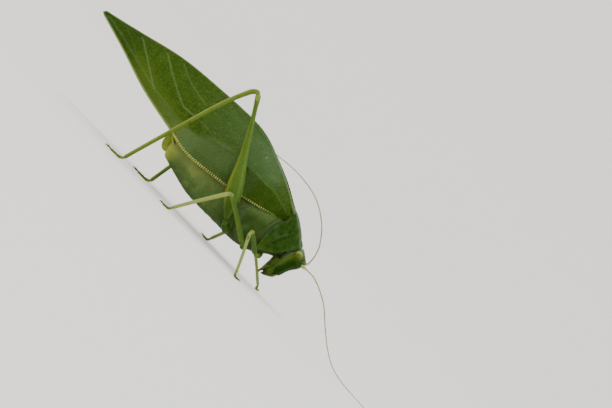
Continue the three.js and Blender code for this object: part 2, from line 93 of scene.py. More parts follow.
# A smooth value through a few stations (place, value), in rising order of place.
def along(stations):
    last = len(stations) - 1
    slopes = []
    for i in range(last + 1):
        a, u = stations[max(i - 1, 0)]
        b, v = stations[min(i + 1, last)]
        slopes.append((v - u) / (b - a))

    def valueAt(place):
        i = 0
        while i < last - 1 and place > stations[i + 1][0]:
            i += 1
        a, u = stations[i]
        b, v = stations[i + 1]
        span = b - a
        t = clamp((place - a) / span)
        bend = slopes[i] * (1 - t) - slopes[i + 1] * t
        straight = (v - u) / span * (2 * t - 1)
        return lerp(u, v, t) + t * (1 - t) * span * (bend + straight)

    return valueAt


def curves(table, *keys):
    return [along(table[key]) for key in keys]


# A smooth route through a few points, with its share from 0 to 1, and its length.
def makePath(points):
    places = [0.0]
    for a, b in zip(points, points[1:]):
        places.append(places[-1] + (Vector(b) - Vector(a)).length)
    length = places[-1]
    curves = [along([(place / length, p[i]) for place, p in zip(places, points)]) for i in range(3)]
    return (lambda share: Vector([curve(share) for curve in curves])), length


def distanceToLine(x, z, points):
    best = 1e9
    for (ax, az), (bx, bz) in zip(points, points[1:]):
        dx, dz = bx - ax, bz - az
        share = clamp(((x - ax) * dx + (z - az) * dz) / (dx * dx + dz * dz))
        best = min(best, hypot(x - ax - dx * share, z - az - dz * share))
    return best


# mesh helpers

def startMesh():
    bm = bmesh.new()
    for name in tintNames:
        bm.verts.layers.float.new(name)
    return bm


def tint(bm, vert, tints):
    for name, value in tints.items():
        vert[bm.verts.layers.float[name]] = clamp(value)


# A closed ball, with each corner put in place by place(share, angle). share runs from pole to pole.
def addBlob(bm, sides, rings, place, evenness=0.4):
    made = bmesh.ops.create_uvsphere(bm, u_segments=sides, v_segments=rings, radius=1)["verts"]
    for vert in made:
        polar = acos(clamp(vert.co.z, -1, 1)) / pi
        share = lerp((1 - vert.co.z) / 2, polar, evenness)
        vert.co, tints = place(share, atan2(vert.co.y, vert.co.x))
        tint(bm, vert, tints)


# A limb: an oval section carried along a route, round at both ends. deep is its half size in
# the plane of the limb and wide the half size along across, each a function or a list of
# stations. Angle 0 is the deep side. tints is a function of share and angle, or a dictionary.
def addLimb(bm, points, deep, wide=None, across=(0, 1, 0), sides=16, rings=60, section=None,
            tints=None, floor=None, evenness=0.4):
    at, length = makePath(points)
    deep = along(deep) if isinstance(deep, list) else deep
    wide = along(wide) if isinstance(wide, list) else wide or deep
    known = {}

    def axesAt(share):
        key = round(share, 7)
        if key not in known:
            tangent = (at(min(share + 0.002, 1)) - at(max(share - 0.002, 0))).normalized()
            side = Vector(across)
            side = (side - tangent * side.dot(tangent)).normalized()
            known[key] = (at(share), tangent.cross(side), side, tangent)
        return known[key]

    def place(share, angle):
        point, upward, side, _ = axesAt(share)
        end = min(share, 1 - share) * length
        size = dome(end, deep(share))
        size *= section(share, angle) if section else 1
        point = point + upward * (cos(angle) * deep(share) * size)
        point += side * (sin(angle) * wide(share) * size)
        if floor is not None:
            point.z = max(point.z, floor)
        return point, tints(share, angle) if callable(tints) else tints or {}

    addBlob(bm, sides, rings, place, evenness)
    return axesAt


def addSpine(bm, root, direction, length, radius, tints=None, sides=6):
    direction = direction.normalized()
    turn = direction.to_track_quat("Z", "Y").to_matrix().to_4x4()
    place = Matrix.Translation(root + direction * length * 0.45) @ turn
    made = bmesh.ops.create_cone(bm, cap_ends=True, segments=sides, radius1=radius,
                                 radius2=radius * 0.12, depth=length, matrix=place)["verts"]
    for vert in made:
        tint(bm, vert, tints or {})


# A sheet from a grid: surface(s, t) gives its middle, relief(s, t, point) gives how far the outer
# face stands above that and its tints. The wall is grown inwards afterwards by Solidify.
def makeSheet(lengthSteps, acrossSteps, surface, relief, outward):
    bm = startMesh()
    flat = bm.verts.layers.float_vector.new("flat")
    made = bmesh.ops.create_grid(bm, x_segments=lengthSteps, y_segments=acrossSteps, size=0.5)["verts"]
    shares = []
    for vert in made:
        s, t = vert.co.x + 0.5, vert.co.y + 0.5
        shares.append((vert, s, t))
        vert.co = surface(s, t)
    bm.normal_update()
    if sum(face.normal.dot(outward(face.calc_center_median())) for face in bm.faces) < 0:
        bmesh.ops.reverse_faces(bm, faces=bm.faces)
        bm.normal_update()
    for vert, s, t in shares:
        height, tints, onSheet = relief(s, t, vert.co)
        vert.co += vert.normal * height
        vert[flat] = onSheet
        tint(bm, vert, tints)
    return bm


def addObject(name, data):
    made = bpy.data.objects.new(name, data)
    bpy.context.collection.objects.link(made)
    return made


def addMesh(name, bm, material):
    mesh = bpy.data.meshes.new(name)
    bm.to_mesh(mesh)
    bm.free()
    mesh.shade_smooth()
    mesh.materials.append(material)
    return addObject(name, mesh)


def cleanUp(bm):
    bmesh.ops.remove_doubles(bm, verts=bm.verts, dist=1e-5)
    bmesh.ops.recalc_face_normals(bm, faces=bm.faces)


def makePiece(name, bm, material, replaced=(), wall=None):
    if wall is None:
        cleanUp(bm)
    bm.transform(toFrame)
    piece = addMesh(name, bm, material)
    if wall is not None:
        solidify = piece.modifiers.new("wall", "SOLIDIFY")
        solidify.thickness = wall / 1000
        solidify.offset = -1
    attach(piece, "root")
    if replaced:
        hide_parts(*replaced)
    return piece


# materials

fleshDepth = 0.0006  # how far light goes into the skin, in metres


# One living surface: two mottled ground colours, tints from the piece's own attributes, a fine
# cell pattern and a grain. Sizes are in millimetres.
def makeMaterial(name, look):
    material = bpy.data.materials.new(name)
    material.use_nodes = True
    tree = material.node_tree
    shader = tree.nodes["Principled BSDF"]

    def put(value, socket):
        if isinstance(value, bpy.types.NodeSocket):
            tree.links.new(value, socket)
        elif isinstance(value, tuple):
            socket.default_value = (*value, 1)
        else:
            socket.default_value = value

    def addNode(kind, inputs, **settings):
        node = tree.nodes.new("ShaderNode" + kind)
        for key, value in settings.items():
            setattr(node, key, value)
        for key, value in inputs.items():
            put(value, node.inputs[key])
        return node

    def mix(factor, first, second):
        return addNode("Mix", {0: factor, 6: first, 7: second}, data_type="RGBA").outputs[2]

    def ramp(value, low, high, toLow=0.0, toHigh=1.0):
        return addNode("MapRange", {"Value": value, "From Min": low, "From Max": high, "To Min": toLow,
                                    "To Max": toHigh}).outputs["Result"]

    def attribute(label):
        return addNode("Attribute", {}, attribute_name=label)

    def bump(height, depth, below=None):
        inputs = {"Strength": 1, "Distance": depth / 1000, "Height": height}
        if below:
            inputs["Normal"] = below
        return addNode("Bump", inputs).outputs["Normal"]

    if look.get("onSheet"):  # a pattern that lies in the sheet, in millimetres
        place, unit = attribute("flat").outputs["Vector"], 1
    else:
        place, unit = addNode("TexCoord", {}).outputs["Object"], 1000

    def cloud(size, detail=3, roughness=0.6):
        return addNode("TexNoise", {"Vector": place, "Scale": unit / size, "Detail": detail,
                                    "Roughness": roughness}).outputs["Fac"]

    def cells(size, feature):
        return addNode("TexVoronoi", {"Scale": unit / size, "Vector": place},
                       feature=feature).outputs["Distance"]

    colour = mix(ramp(cloud(look["mottle"]), 0.36, 0.64), look["base"], look["deep"])
    if "fleck" in look:
        fleck = look["fleck"]
        share = ramp(cells(fleck["size"], "F1"), 0.12, 0.5, fleck["amount"], 0)
        colour = mix(share, colour, fleck["colour"])
    if "net" in look:
        net = look["net"]
        web = ramp(cells(net["size"], "DISTANCE_TO_EDGE"), 0.02, 0.12, net["amount"], 0)
        colour = mix(web, colour, net["colour"])
    for label, shade in look["tints"].items():
        colour = mix(attribute(label).outputs["Fac"], colour, shade)
    if "comb" in look:  # fine slanting ribs, only where the piece asks for them
        comb = look["comb"]
        turned = addNode("Mapping", {"Vector": place})
        turned.inputs["Rotation"].default_value[2] = comb["slant"]
        ribs = addNode("TexWave", {"Vector": turned.outputs["Vector"], "Scale": pi / 10 / comb["pitch"],
                                   "Distortion": 0.6})
        shown = addNode("Math", {0: ramp(ribs.outputs["Fac"], 0.45, 0.95),
                                 1: attribute("comb").outputs["Fac"]}, operation="MULTIPLY")
        colour = mix(shown.outputs["Value"], colour, comb["colour"])
    fine = cloud(look["grain"], 4, 0.7)
    colour = mix(ramp(fine, 0.3, 0.7, 0.0, look.get("grainShade", 0.16)), colour, look["deep"])
    put(colour, shader.inputs["Base Color"])

    low, high = look["roughness"]
    put(ramp(cloud(look["mottle"] * 0.4), 0.3, 0.7, low, high), shader.inputs["Roughness"])
    normal = bump(fine, look["grainDepth"])
    if "net" in look:
        raised = ramp(cells(net["size"], "DISTANCE_TO_EDGE"), 0.0, 0.16, 1, 0)
        normal = bump(raised, net["depth"], normal)
    put(normal, shader.inputs["Normal"])
    put(look.get("specular", 0.4), shader.inputs["Specular IOR Level"])
    put(look.get("gloss", (1, 1, 1)), shader.inputs["Specular Tint"])
    put(look.get("sheen", 0), shader.inputs["Sheen Weight"])
    put(look.get("flesh", 0), shader.inputs["Subsurface Weight"])
    put(fleshDepth, shader.inputs["Subsurface Scale"])
    return material


leafGloss = (0.62, 0.9, 0.32)  # the tint of the weak shine on green surfaces

wingMaterial = makeMaterial("wing_leather", {
    "onSheet": True,
    "base": (0.042, 0.082, 0.0050),
    "deep": (0.024, 0.054, 0.0018),
    "mottle": 1.1,
    "fleck": {"size": 0.42, "amount": 0.6, "colour": (0.062, 0.112, 0.022)},
    "net": {"size": 0.55, "amount": 0.62, "colour": (0.013, 0.034, 0.0012), "depth": 0.07},
    "tints": {"blue": (0.046, 0.092, 0.032), "warm": (0.060, 0.100, 0.010), "dark": (0.014, 0.038, 0.0022),
              "pale": (0.235, 0.31, 0.125)},
    "comb": {"slant": 0.42, "pitch": 0.4, "colour": (0.020, 0.040, 0.006)},
    "grain": 0.17,
    "grainDepth": 0.05,
    "grainShade": 0.35,
    "roughness": (0.42, 0.62),
    "specular": 0.2,
    "gloss": leafGloss,
})
rimMaterial = makeMaterial("wing_rim", {
    "base": (0.17, 0.21, 0.042),
    "deep": (0.12, 0.155, 0.026),
    "mottle": 0.5,
    "tints": {"dark": (0.016, 0.030, 0.002), "warm": (0.15, 0.19, 0.028), "pale": (0.40, 0.38, 0.085)},
    "grain": 0.12,
    "grainDepth": 0.015,
    "roughness": (0.35, 0.55),
    "specular": 0.3,
    "gloss": (0.95, 0.95, 0.6),
})
skinMaterial = makeMaterial("trunk_velvet", {
    "base": (0.074, 0.122, 0.034),
    "deep": (0.050, 0.092, 0.019),
    "mottle": 1.2,
    "fleck": {"size": 0.36, "amount": 0.45, "colour": (0.125, 0.17, 0.06)},
    "tints": {"warm": (0.33, 0.38, 0.050), "dark": (0.016, 0.040, 0.0025), "pale": (0.30, 0.34, 0.10),
              "blue": (0.045, 0.085, 0.030), "comb": (0.046, 0.040, 0.006)},
    "grain": 0.11,
    "grainDepth": 0.05,
    "grainShade": 0.3,
    "roughness": (0.6, 0.8),
    "specular": 0.15,
    "gloss": leafGloss,
    "sheen": 0.05,
    "flesh": 0.05,
})
shellMaterial = makeMaterial("shell_green", {
    "base": (0.023, 0.052, 0.0085),
    "deep": (0.013, 0.034, 0.0035),
    "mottle": 0.7,
    "fleck": {"size": 0.34, "amount": 0.4, "colour": (0.040, 0.078, 0.015)},
    "tints": {"blue": (0.044, 0.092, 0.028), "warm": (0.056, 0.092, 0.013), "dark": (0.0065, 0.025, 0.0004),
              "pale": (0.17, 0.235, 0.10)},
    "grain": 0.15,
    "grainDepth": 0.035,
    "grainShade": 0.25,
    "roughness": (0.36, 0.55),
    "specular": 0.05,
    "gloss": (0.45, 0.8, 0.12),
    "flesh": 0.04,
})
legMaterial = makeMaterial("leg_green", {
    "base": (0.058, 0.116, 0.0135),
    "deep": (0.044, 0.092, 0.0080),
    "mottle": 0.6,
    "fleck": {"size": 0.24, "amount": 0.3, "colour": (0.085, 0.13, 0.028)},
    # the blue tint is a darker green: a leg's own tone, and painted shade
    "tints": {"blue": (0.022, 0.058, 0.0025), "warm": (0.145, 0.170, 0.010), "dark": (0.022, 0.015, 0.005),
              "pale": (0.27, 0.31, 0.085)},
    "grain": 0.1,
    "grainDepth": 0.02,
    "roughness": (0.38, 0.55),
    "specular": 0.25,
    "gloss": (0.75, 0.9, 0.4),
    "flesh": 0.05,
})
eyeMaterial = makeMaterial("eye_facets", {
    "base": (0.058, 0.088, 0.0020),
    "deep": (0.044, 0.070, 0.0012),
    "mottle": 0.5,
    "net": {"size": 0.06, "amount": 0.25, "colour": (0.03, 0.045, 0.002), "depth": 0.006},
    "tints": {"pale": (0.24, 0.31, 0.075), "dark": (0.012, 0.020, 0.001), "warm": (0.085, 0.105, 0.0035)},
    "grain": 0.3,
    "grainDepth": 0.002,
    "grainShade": 0.05,
    "roughness": (0.16, 0.24),
    "specular": 0.3,
    "gloss": (0.8, 0.85, 0.2),
})
feelerMaterial = makeMaterial("feeler_straw", {
    "base": (0.30, 0.28, 0.085),
    "deep": (0.20, 0.19, 0.045),
    "mottle": 0.9,
    "tints": {"warm": (0.26, 0.30, 0.055), "dark": (0.08, 0.055, 0.015), "pale": (0.46, 0.44, 0.17)},
    "grain": 0.1,
    "grainDepth": 0.006,
    "roughness": (0.45, 0.6),
    "specular": 0.3,
})
mouthMaterial = makeMaterial("mouth_horn", {
    "base": (0.036, 0.062, 0.0055),
    "deep": (0.020, 0.040, 0.002),
    "mottle": 0.45,
    "fleck": {"size": 0.26, "amount": 0.4, "colour": (0.07, 0.10, 0.018)},
    "tints": {"warm": (0.075, 0.098, 0.010), "pale": (0.17, 0.21, 0.05), "dark": (0.013, 0.010, 0.003)},
    "grain": 0.12,
    "grainDepth": 0.02,
    "roughness": (0.3, 0.5),
    "specular": 0.25,
    "gloss": leafGloss,
})
bladeMaterial = makeMaterial("egg_blade_horn", {
    "base": (0.20, 0.24, 0.026),
    "deep": (0.14, 0.18, 0.015),
    "mottle": 0.6,
    "tints": {"warm": (0.20, 0.22, 0.018), "dark": (0.045, 0.035, 0.006), "pale": (0.28, 0.30, 0.05)},
    "grain": 0.13,
    "grainDepth": 0.012,
    "roughness": (0.32, 0.5),
    "specular": 0.3,
    "gloss": leafGloss,
})
fanMaterial = makeMaterial("hind_wing_film", {
    "onSheet": True,
    "base": (0.17, 0.22, 0.08),
    "deep": (0.13, 0.175, 0.05),
    "mottle": 2.0,
    "net": {"size": 0.9, "amount": 0.5, "colour": (0.08, 0.11, 0.02), "depth": 0.01},
    "tints": {"dark": (0.06, 0.085, 0.02)},
    "grain": 0.2,
    "grainDepth": 0.006,
    "roughness": (0.35, 0.5),
})
print("materials made")


# trunk: thorax and abdomen in one skin

trunk = {
    "front": -1.7,
    "rear": -28.3,
    "rearRound": 1.1,
    "frontRound": 0.5,
    "top": [(-28.3, 8.85), (-27.6, 9.5), (-24, 10.75), (-20, 11.4), (-13, 12.0), (-10, 12.35), (-6, 12.4),
            (-4, 11.4), (-2.9, 10.1), (-1.7, 9.6)],
    "bottom": [(-28.3, 5.75), (-27.6, 5.38), (-25.2, 4.7), (-22.4, 3.95), (-20, 3.55), (-13, 3.5),
               (-10, 3.43), (-7.3, 3.98), (-5, 5.05), (-3.9, 5.98), (-2.9, 6.55), (-1.7, 7.3)],
    "wide": [(-28.3, 0.95), (-27.6, 1.2), (-24, 2.28), (-20, 2.72), (-13, 2.82), (-10, 2.9), (-7.3, 2.62),
             (-5, 1.88), (-2.9, 1.25), (-1.7, 1.0)],
    "segmentFrom": 12.9,
    "segmentLength": 1.72,
    "heights": {"step": 0.045, "fold": -0.05, "groove": -0.12, "collar": 0.14, "spot": -0.04,
                "shoulder": 0.55, "lump": 0.07},
    "sutures": (-7.6, -9.9, -12.3),
    "wingLine": [(-28, 8.5), (-23.5, 8.3), (-17.4, 9.25), (-10.6, 10.6), (-6.7, 11.75), (-5.6, 12.1)],
    "seam": [(-6.2, 12.2), (-6.9, 11.3), (-7.2, 9.8), (-7.1, 8.2), (-6.9, 6.6), (-6.5, 5.4)],
    "hips": [(-12.0, 4.7), (-7.8, 4.2), (-4.9, 5.2)],
    "sides": 104,
    "rings": 330,
}
trunkTop, trunkBottom, trunkWide, trunkWingLine = curves(trunk, "top", "bottom", "wide", "wingLine")


def trunkPlace(share, angle):
    x = lerp(trunk["front"], trunk["rear"], share)
    middle = (trunkTop(x) + trunkBottom(x)) / 2
    height = (trunkTop(x) - trunkBottom(x)) / 2
    wide = trunkWide(x)
    upward, sideways = cos(angle), sin(angle)
    close = dome(x - trunk["rear"], trunk["rearRound"]) * dome(trunk["front"] - x, trunk["frontRound"])
    z = middle + height * upward * close
    flank = ease(abs(sideways), 0.35, 0.6)
    abdomen = ease(-x, 12.7, 13.3)
    # each ring of the abdomen widens a little to its rear edge and overlaps the next
    phase = ((-x - trunk["segmentFrom"]) / trunk["segmentLength"]) % 1
    step = (phase ** 0.8) * (1 - ease(phase, 0.93, 1)) * abdomen
    crack = hump(min(phase, 1 - phase), 0.07) * abdomen
    # the fold along the flank between the back plates and the belly plates
    foldZ = lerp(5.35, 6.6, ease(-x, 20, 28))
    fold = hump(z - foldZ, 0.28) * flank * abdomen
    spot = hump(hypot((phase - 0.35) * trunk["segmentLength"], z - foldZ - 0.55), 0.16) * abdomen * flank
    # slanting grooves between the plates of the thorax, and the collars of the hips
    groove = max(hump(x - (sutureX + 0.32 * (z - 8)), 0.17) for sutureX in trunk["sutures"])
    groove *= (1 - abdomen) * flank
    collar = max(hump(hypot(x - hipX, z - hipZ) - 0.72, 0.3) for hipX, hipZ in trunk["hips"])
    collar *= flank * (1 - ease(z, 6.2, 7))
    # the flank stands out under the wing
    shoulder = hump(z - trunkWingLine(x) + 0.6, 2.6) * ease(x, -16, -11) * ease(x, -3.8, -5.5)
    shoulder *= ease(abs(sideways), 0.3, 0.6)
    lift = totalLift(trunk["heights"], step=step, fold=fold, groove=groove, collar=collar, spot=spot,
                     shoulder=shoulder, lump=cloudAt(x * 0.9, angle * 2.2, 3)) * close
    point = Vector((x, (wide * close + lift) * sideways, z + lift * upward))
    rearGlow = ease(-x, 25.2, 28.2)
    towardsRear = ease(-x, 20, 28)
    belly = ease(z, lerp(5.0, 6.6, towardsRear), lerp(3.5, 5.3, towardsRear))
    front = 1 - ease(-x, 12.5, 17.5)
    bluishMottle = ease(cloudAt(x * 0.55, z * 0.55, 7), -0.1, 0.45)  # soft bluish patches
    # the wing shades the flank: it is paler there, so that it looks even
    shaded = hump(z - trunkWingLine(x) + 0.2, 2.2) * flank * lerp(0.45, 1, ease(x, -17, -9))
    # the upper side of the rear abdomen is painted paler: painted light from above
    rearPale = ease(-x, 17, 22) * ease(z, 5.2, 7.4) * (1 - rearGlow)
    # a reddish seam runs down behind the back shield
    seam = hump(distanceToLine(x, z, trunk["seam"]), 0.2) * flank
    tints = {
        "warm": 0.9 * rearGlow + 0.2 * ease(cloudAt(x * 0.8, z * 0.8, 1), 0.1, 0.5) * (1 - front),
        # dark: a painted shadow on the lower thorax, painted shade in the cracks, grooves and fold, and
        # painted shade along the underside of the trunk
        "dark": max(0.85 * front * (1 - 0.55 * bluishMottle), 0.9 * front * ease(z, 6.0, 5.0), 0.1 * crack,
                    0.45 * groove, 0.15 * fold, 0.5 * spot, 0.75 * belly * (1 - rearGlow),
                    0.9 * ease(x, -3.6, -2.6)) * (1 - 0.85 * shaded),
        "blue": (0.8 * bluishMottle * front + 0.3 * bluishMottle) * (1 - 0.7 * rearPale),
        "pale": 0.12 * collar + 0.25 * ease(-x, 26.8, 28.2) * ease(z, 5.5, 7.5) + 0.14 * rearPale
                + lerp(0.62, 0.06, ease(x, -20, -12)) * shaded,
        "comb": seam,
    }
    return point, tints


bm = startMesh()
addBlob(bm, trunk["sides"], trunk["rings"], trunkPlace, evenness=0.85)
makePiece("trunk_skin", bm, skinMaterial, ["thorax", "abdomen_front", "abdomen_rear"])
print("trunk made")


# head, modelled in its own leaning frame: x to the face, z to the crown

head = {
    "at": (-0.6, 0, 7.0),
    "lean": radians(20.3),
    "crown": 3.86,
    "chin": -2.4,
    "crownRound": 0.1,
    "chinRound": 0.35,
    "front": [(-2.4, 1.05), (-1.7, 1.36), (-0.5, 1.31), (0.4, 1.38), (1.8, 1.68), (2.8, 1.4), (3.4, 0.83),
              (3.86, -0.6)],
    "back": [(-2.4, -0.55), (-1.8, -0.9), (-0.83, -1.45), (-0.3, -1.58), (0.7, -1.9), (1.6, -2.05),
             (2.8, -1.75), (3.5, -1.4), (3.86, -0.95)],
    "wide": [(-2.4, 1.42), (-1.2, 1.9), (0, 2.16), (1.2, 2.16), (2.2, 1.92), (3.1, 1.42), (3.6, 0.88),
             (3.86, 0.25)],
    "heights": {"orbit": 0.10, "inside": -0.35, "peak": 0.3, "socket": 0.09, "costa": 0.03, "edge": 0.05,
                "cheek": -0.08, "gena": -0.06, "brow": -0.09},
    "cheekGroove": [(0.45, 1.7), (0.62, 0.5), (0.6, -0.8), (0.35, -2.4)],
    "cheekBack": [(-1.5, 1.9), (-1.5, 0.6), (-1.2, -0.75), (-0.6, -1.75), (0.2, -2.15)],
    "sides": 128,
    "rings": 128,
}
eye = {
    "at": (-0.26, 1.62, 2.66),
    "short": 0.63,
    "out": 0.72,
    "long": 0.82,
    "tilt": radians(-65.7),  # the long axis stands upright in life, while the head leans
    "sides": 64,
    "rings": 48,
}
eyeShort = (cos(eye["tilt"]), -sin(eye["tilt"]))
eyeLong = (sin(eye["tilt"]), cos(eye["tilt"]))
headToBody = Matrix.Translation(head["at"]) @ Matrix.Rotation(head["lean"], 4, "Y")
headFront, headBack, headWide = curves(head, "front", "back", "wide")


def dotWith(axis, x, z):
    return axis[0] * x + axis[1] * z


def headPlace(share, angle):
    height = lerp(head["crown"], head["chin"], share)
    towardsFace, sideways = cos(angle), sin(angle)
    middle = (headFront(height) + headBack(height)) / 2
    depth = (headFront(height) - headBack(height)) / 2
    close = dome(head["crown"] - height, head["crownRound"]) * dome(height - head["chin"], head["chinRound"])
    x = middle + depth * towardsFace * close
    y = headWide(height) * sideways * close
    eyeX, eyeZ = x - eye["at"][0], height - eye["at"][2]
    fromEye = sqrt((dotWith(eyeShort, eyeX, eyeZ) / eye["short"]) ** 2
                   + (dotWith(eyeLong, eyeX, eyeZ) / eye["long"]) ** 2
                   + ((abs(y) - eye["at"][1]) / eye["out"]) ** 2)
    orbit = hump(fromEye - 1.13, 0.17)
    inside = 1 - ease(fromEye, 0.7, 0.98)
    flank = ease(abs(sideways), 0.4, 0.65)
    cheek = hump(distanceToLine(x, height, head["cheekGroove"]), 0.13) * flank
    gena = hump(distanceToLine(x, height, head["cheekBack"]), 0.16) * flank
    brow = hump(height + 1.95, 0.12) * ease(towardsFace, 0.2, 0.6)  # seam above the upper lip
    costa = hump(y, 0.3) * ease(towardsFace, 0.3, 0.7)  # the low keel down the face
    edge = hump(abs(y) - 0.95, 0.16) * ease(towardsFace, 0.5, 0.8) * ease(height, 1.9, 1.2)
    peak = exp(-((x - 1.15) ** 2 + (y / 0.8) ** 2 + (height - 3.05) ** 2) / 0.16)
    socket = hump(hypot(abs(y) - 0.66, height - 2.6) - 0.42, 0.16) * ease(towardsFace, 0.4, 0.7)
    lift = totalLift(head["heights"], orbit=orbit, inside=inside, peak=peak, socket=socket, costa=costa,
                     edge=edge, cheek=cheek, gena=gena, brow=brow) * close
    outward = Vector((towardsFace / max(depth, 0.3), sideways / max(headWide(height), 0.3), 0)).normalized()
    point = Vector((x, y, height)) + outward * lift
    face = ease(towardsFace, 0.15, 0.75)
    crown = ease(height, 2.7, 3.5)
    rear = ease(x, -0.7, -1.4) * ease(height, 0.0, 0.8) * flank  # shaded by the shield, so it is paler
    # behind the cheek line the surface is mottled like the mouthparts
    behindCheek = ease(-x, 1.1, 1.5) * ease(height, 0.2, -0.9) * flank
    tints = {
        # paler towards the top of the crown: painted light
        "pale": 0.44 * rear + 0.22 * gena + 0.5 * ease(height, 2.9, 3.7) * ease(x, 1.0, -0.2)
                # a pale stripe down the middle of the face: a painted rim highlight along the face's outline
                + 0.12 * orbit + 0.75 * hump(y, 0.3) * face * ease(height, -2.2, -1.6) + 0.3 * socket
                # the last term lightens the lower back of the head: painted light against its shade
                + 0.1 * edge + 0.1 * ease(x, 0.2, -0.7) * ease(height, 1, 0) * flank,
        "dark": 0.82 * ease(x, -0.75, 0.35) * ease(height, 2.2, 1.4) * (1 - 0.75 * hump(y, 0.4))
                # dark in the cheek groove and the brow seam: painted shade
                + 0.3 * cheek + 0.12 * brow + 0.25 * behindCheek
                # less dark at the lower back of the head: painted light against its shade
                - 0.5 * ease(x, 0.2, -0.9) * ease(height, 0.5, -0.5) - 0.6 * rear,
        "warm": 0.9 * ease(x, 0.2, -0.7) * ease(height, 2.6, 1.6) * flank + 0.3 * crown + 0.5 * gena,
        # bluish on the crown: painted sky reflection; bluish at the back of the head: painted light against
        # the shield's shade
        "blue": 0.55 * crown + 0.35 * ease(x, -0.5, -1.4) * ease(height, 0.4, 1.4) * flank,
    }
    return point, tints


bm = startMesh()
addBlob(bm, head["sides"], head["rings"], headPlace, evenness=0.85)
# three simple eyes: tiny beads between and beside the feelers
for spot in ((1.66, 0, 2.05), (1.32, 0.28, 3.1), (1.32, -0.28, 3.1)):
    bead = bmesh.ops.create_icosphere(bm, subdivisions=2, radius=0.085, matrix=Matrix.Translation(spot))
    for vert in bead["verts"]:
        tint(bm, vert, {"pale": 0.9})
bm.transform(headToBody)
makePiece("head_capsule", bm, shellMaterial, ["head"])


def eyePlace(side):
    def place(share, angle):
        polar = share * pi
        # the pole points outwards
        outward = cos(polar)
        forward = sin(polar) * cos(angle)
        upward = sin(polar) * sin(angle)
        alongX, alongZ = (forward * eye["short"] * eyeShort[i] + upward * eye["long"] * eyeLong[i]
                          for i in (0, 1))
        point = Vector((eye["at"][0] + alongX, side * (eye["at"][1] + eye["out"] * outward),
                        eye["at"][2] + alongZ))
        fromMiddle = hypot(forward, upward)
        tints = {
            # a pale ring above and at the rim, which is a painted highlight, a darker middle and a dark spot
            # below
            "pale": 0.4 * ease(upward, 0.2, 0.95)
                    + 0.45 * ease(fromMiddle, 0.5, 0.85) * ease(upward, -0.5, 0.2),
            "dark": 0.75 * hump(hypot(forward, (upward + 0.55) * 1.3), 0.5) + 0.2 * hump(fromMiddle, 0.35)
                    + 0.2 * ease(fromMiddle, 0.8, 1) * ease(upward, 0, -0.5),
            "warm": 0.7 * hump(hypot(forward, upward - 0.1), 0.7),
        }
        return point, tints
    return place


for side, name in sideNames.items():
    bm = startMesh()
    addBlob(bm, eye["sides"], eye["rings"], eyePlace(side), evenness=1)
    bm.transform(headToBody)
    makePiece("eyeball_" + name, bm, eyeMaterial, ["eye_" + name])
print("head made")


# mouth: upper lip, jaws, lower lip and palps

mouth = {
    "lip": {
        "top": -1.9,
        "bottom": -4.4,
        "front": [(-4.4, -0.24), (-3.89, 0.36), (-2.89, 1.16), (-2.4, 1.2), (-1.9, 1.22)],
        "back": [(-4.4, -0.46), (-3.9, -0.36), (-3.63, -0.22), (-2.56, 0.42), (-1.9, 0.6)],
        "wide": [(-4.4, 0.42), (-3.8, 0.86), (-3.0, 1.08), (-1.9, 1.2)],
        "seam": -3.1,
        "cleft": 0.03,
    },
    "lowerLip": {
        "top": -0.35,
        "bottom": -4.24,
        "front": [(-4.24, -0.62), (-3.2, -0.4), (-2.0, -0.1), (-0.35, -0.3)],
        "back": [(-4.24, -0.74), (-3.98, -1.03), (-3.2, -1.35), (-2.14, -1.68), (-1.4, -2.0),
                 (-0.9, -2.08), (-0.35, -1.8)],
        "wide": [(-4.24, 0.5), (-3.6, 0.95), (-2.4, 1.36), (-1.5, 1.55), (-0.35, 1.6)],
        "seam": -3.2,
        "cleft": 0.08,
    },
    "jawAt": (-0.12, 0.78, -2.7),
    "jawRadii": (0.74, 0.66, 1.3),
    "palp": [(-2.2, 1.2, 5.0), (-2.62, 1.5, 4.4), (-2.78, 1.56, 3.85), (-2.85, 1.45, 3.4),
             (-2.9, 1.33, 2.95)],
    "innerPalp": [(-2.05, 0.5, 4.3), (-2.75, 0.72, 3.9), (-2.95, 0.8, 3.4), (-2.93, 0.78, 3.05)],
}


def plate(shape, sides=56, rings=56):
    top, bottom, seam, cleft = (shape[key] for key in ("top", "bottom", "seam", "cleft"))
    front, back, wide = curves(shape, "front", "back", "wide")

    def place(share, angle):
        height = lerp(top, bottom, share)
        towardsFace, sideways = cos(angle), sin(angle)
        middle = (front(height) + back(height)) / 2
        depth = (front(height) - back(height)) / 2
        close = dome(height - bottom, 0.35) * ease(top - height, -0.001, 0.08)
        groove = hump(height - seam, 0.1)
        notch = cleft * hump(sideways * wide(height), 0.22)
        pit = hump(cloudAt(sideways * 2, towardsFace * 2, height * 2.2) - 0.42, 0.16)
        lift = (-0.06 * groove - notch - 0.04 * pit) * close
        point = Vector((middle + (depth * close + lift) * towardsFace,
                        (wide(height) * close + lift) * sideways, height))
        low = ease(height, seam + 0.1, bottom)
        keel = 0.5 * hump(sideways * wide(height), 0.3) * ease(towardsFace, 0.3, 0.8) * (1 - low)
        # dark in the seam and the middle cleft: painted shade; paler on the back side: painted light against
        # the shade behind the head
        return point, {"dark": 0.45 * groove + 0.4 * low + 2 * notch + 0.5 * pit,
                       "pale": keel + 0.2 * ease(-towardsFace, 0, 0.7) * (1 - low)}

    bm = startMesh()
    addBlob(bm, sides, rings, place, evenness=0.8)
    bm.transform(headToBody)
    return bm


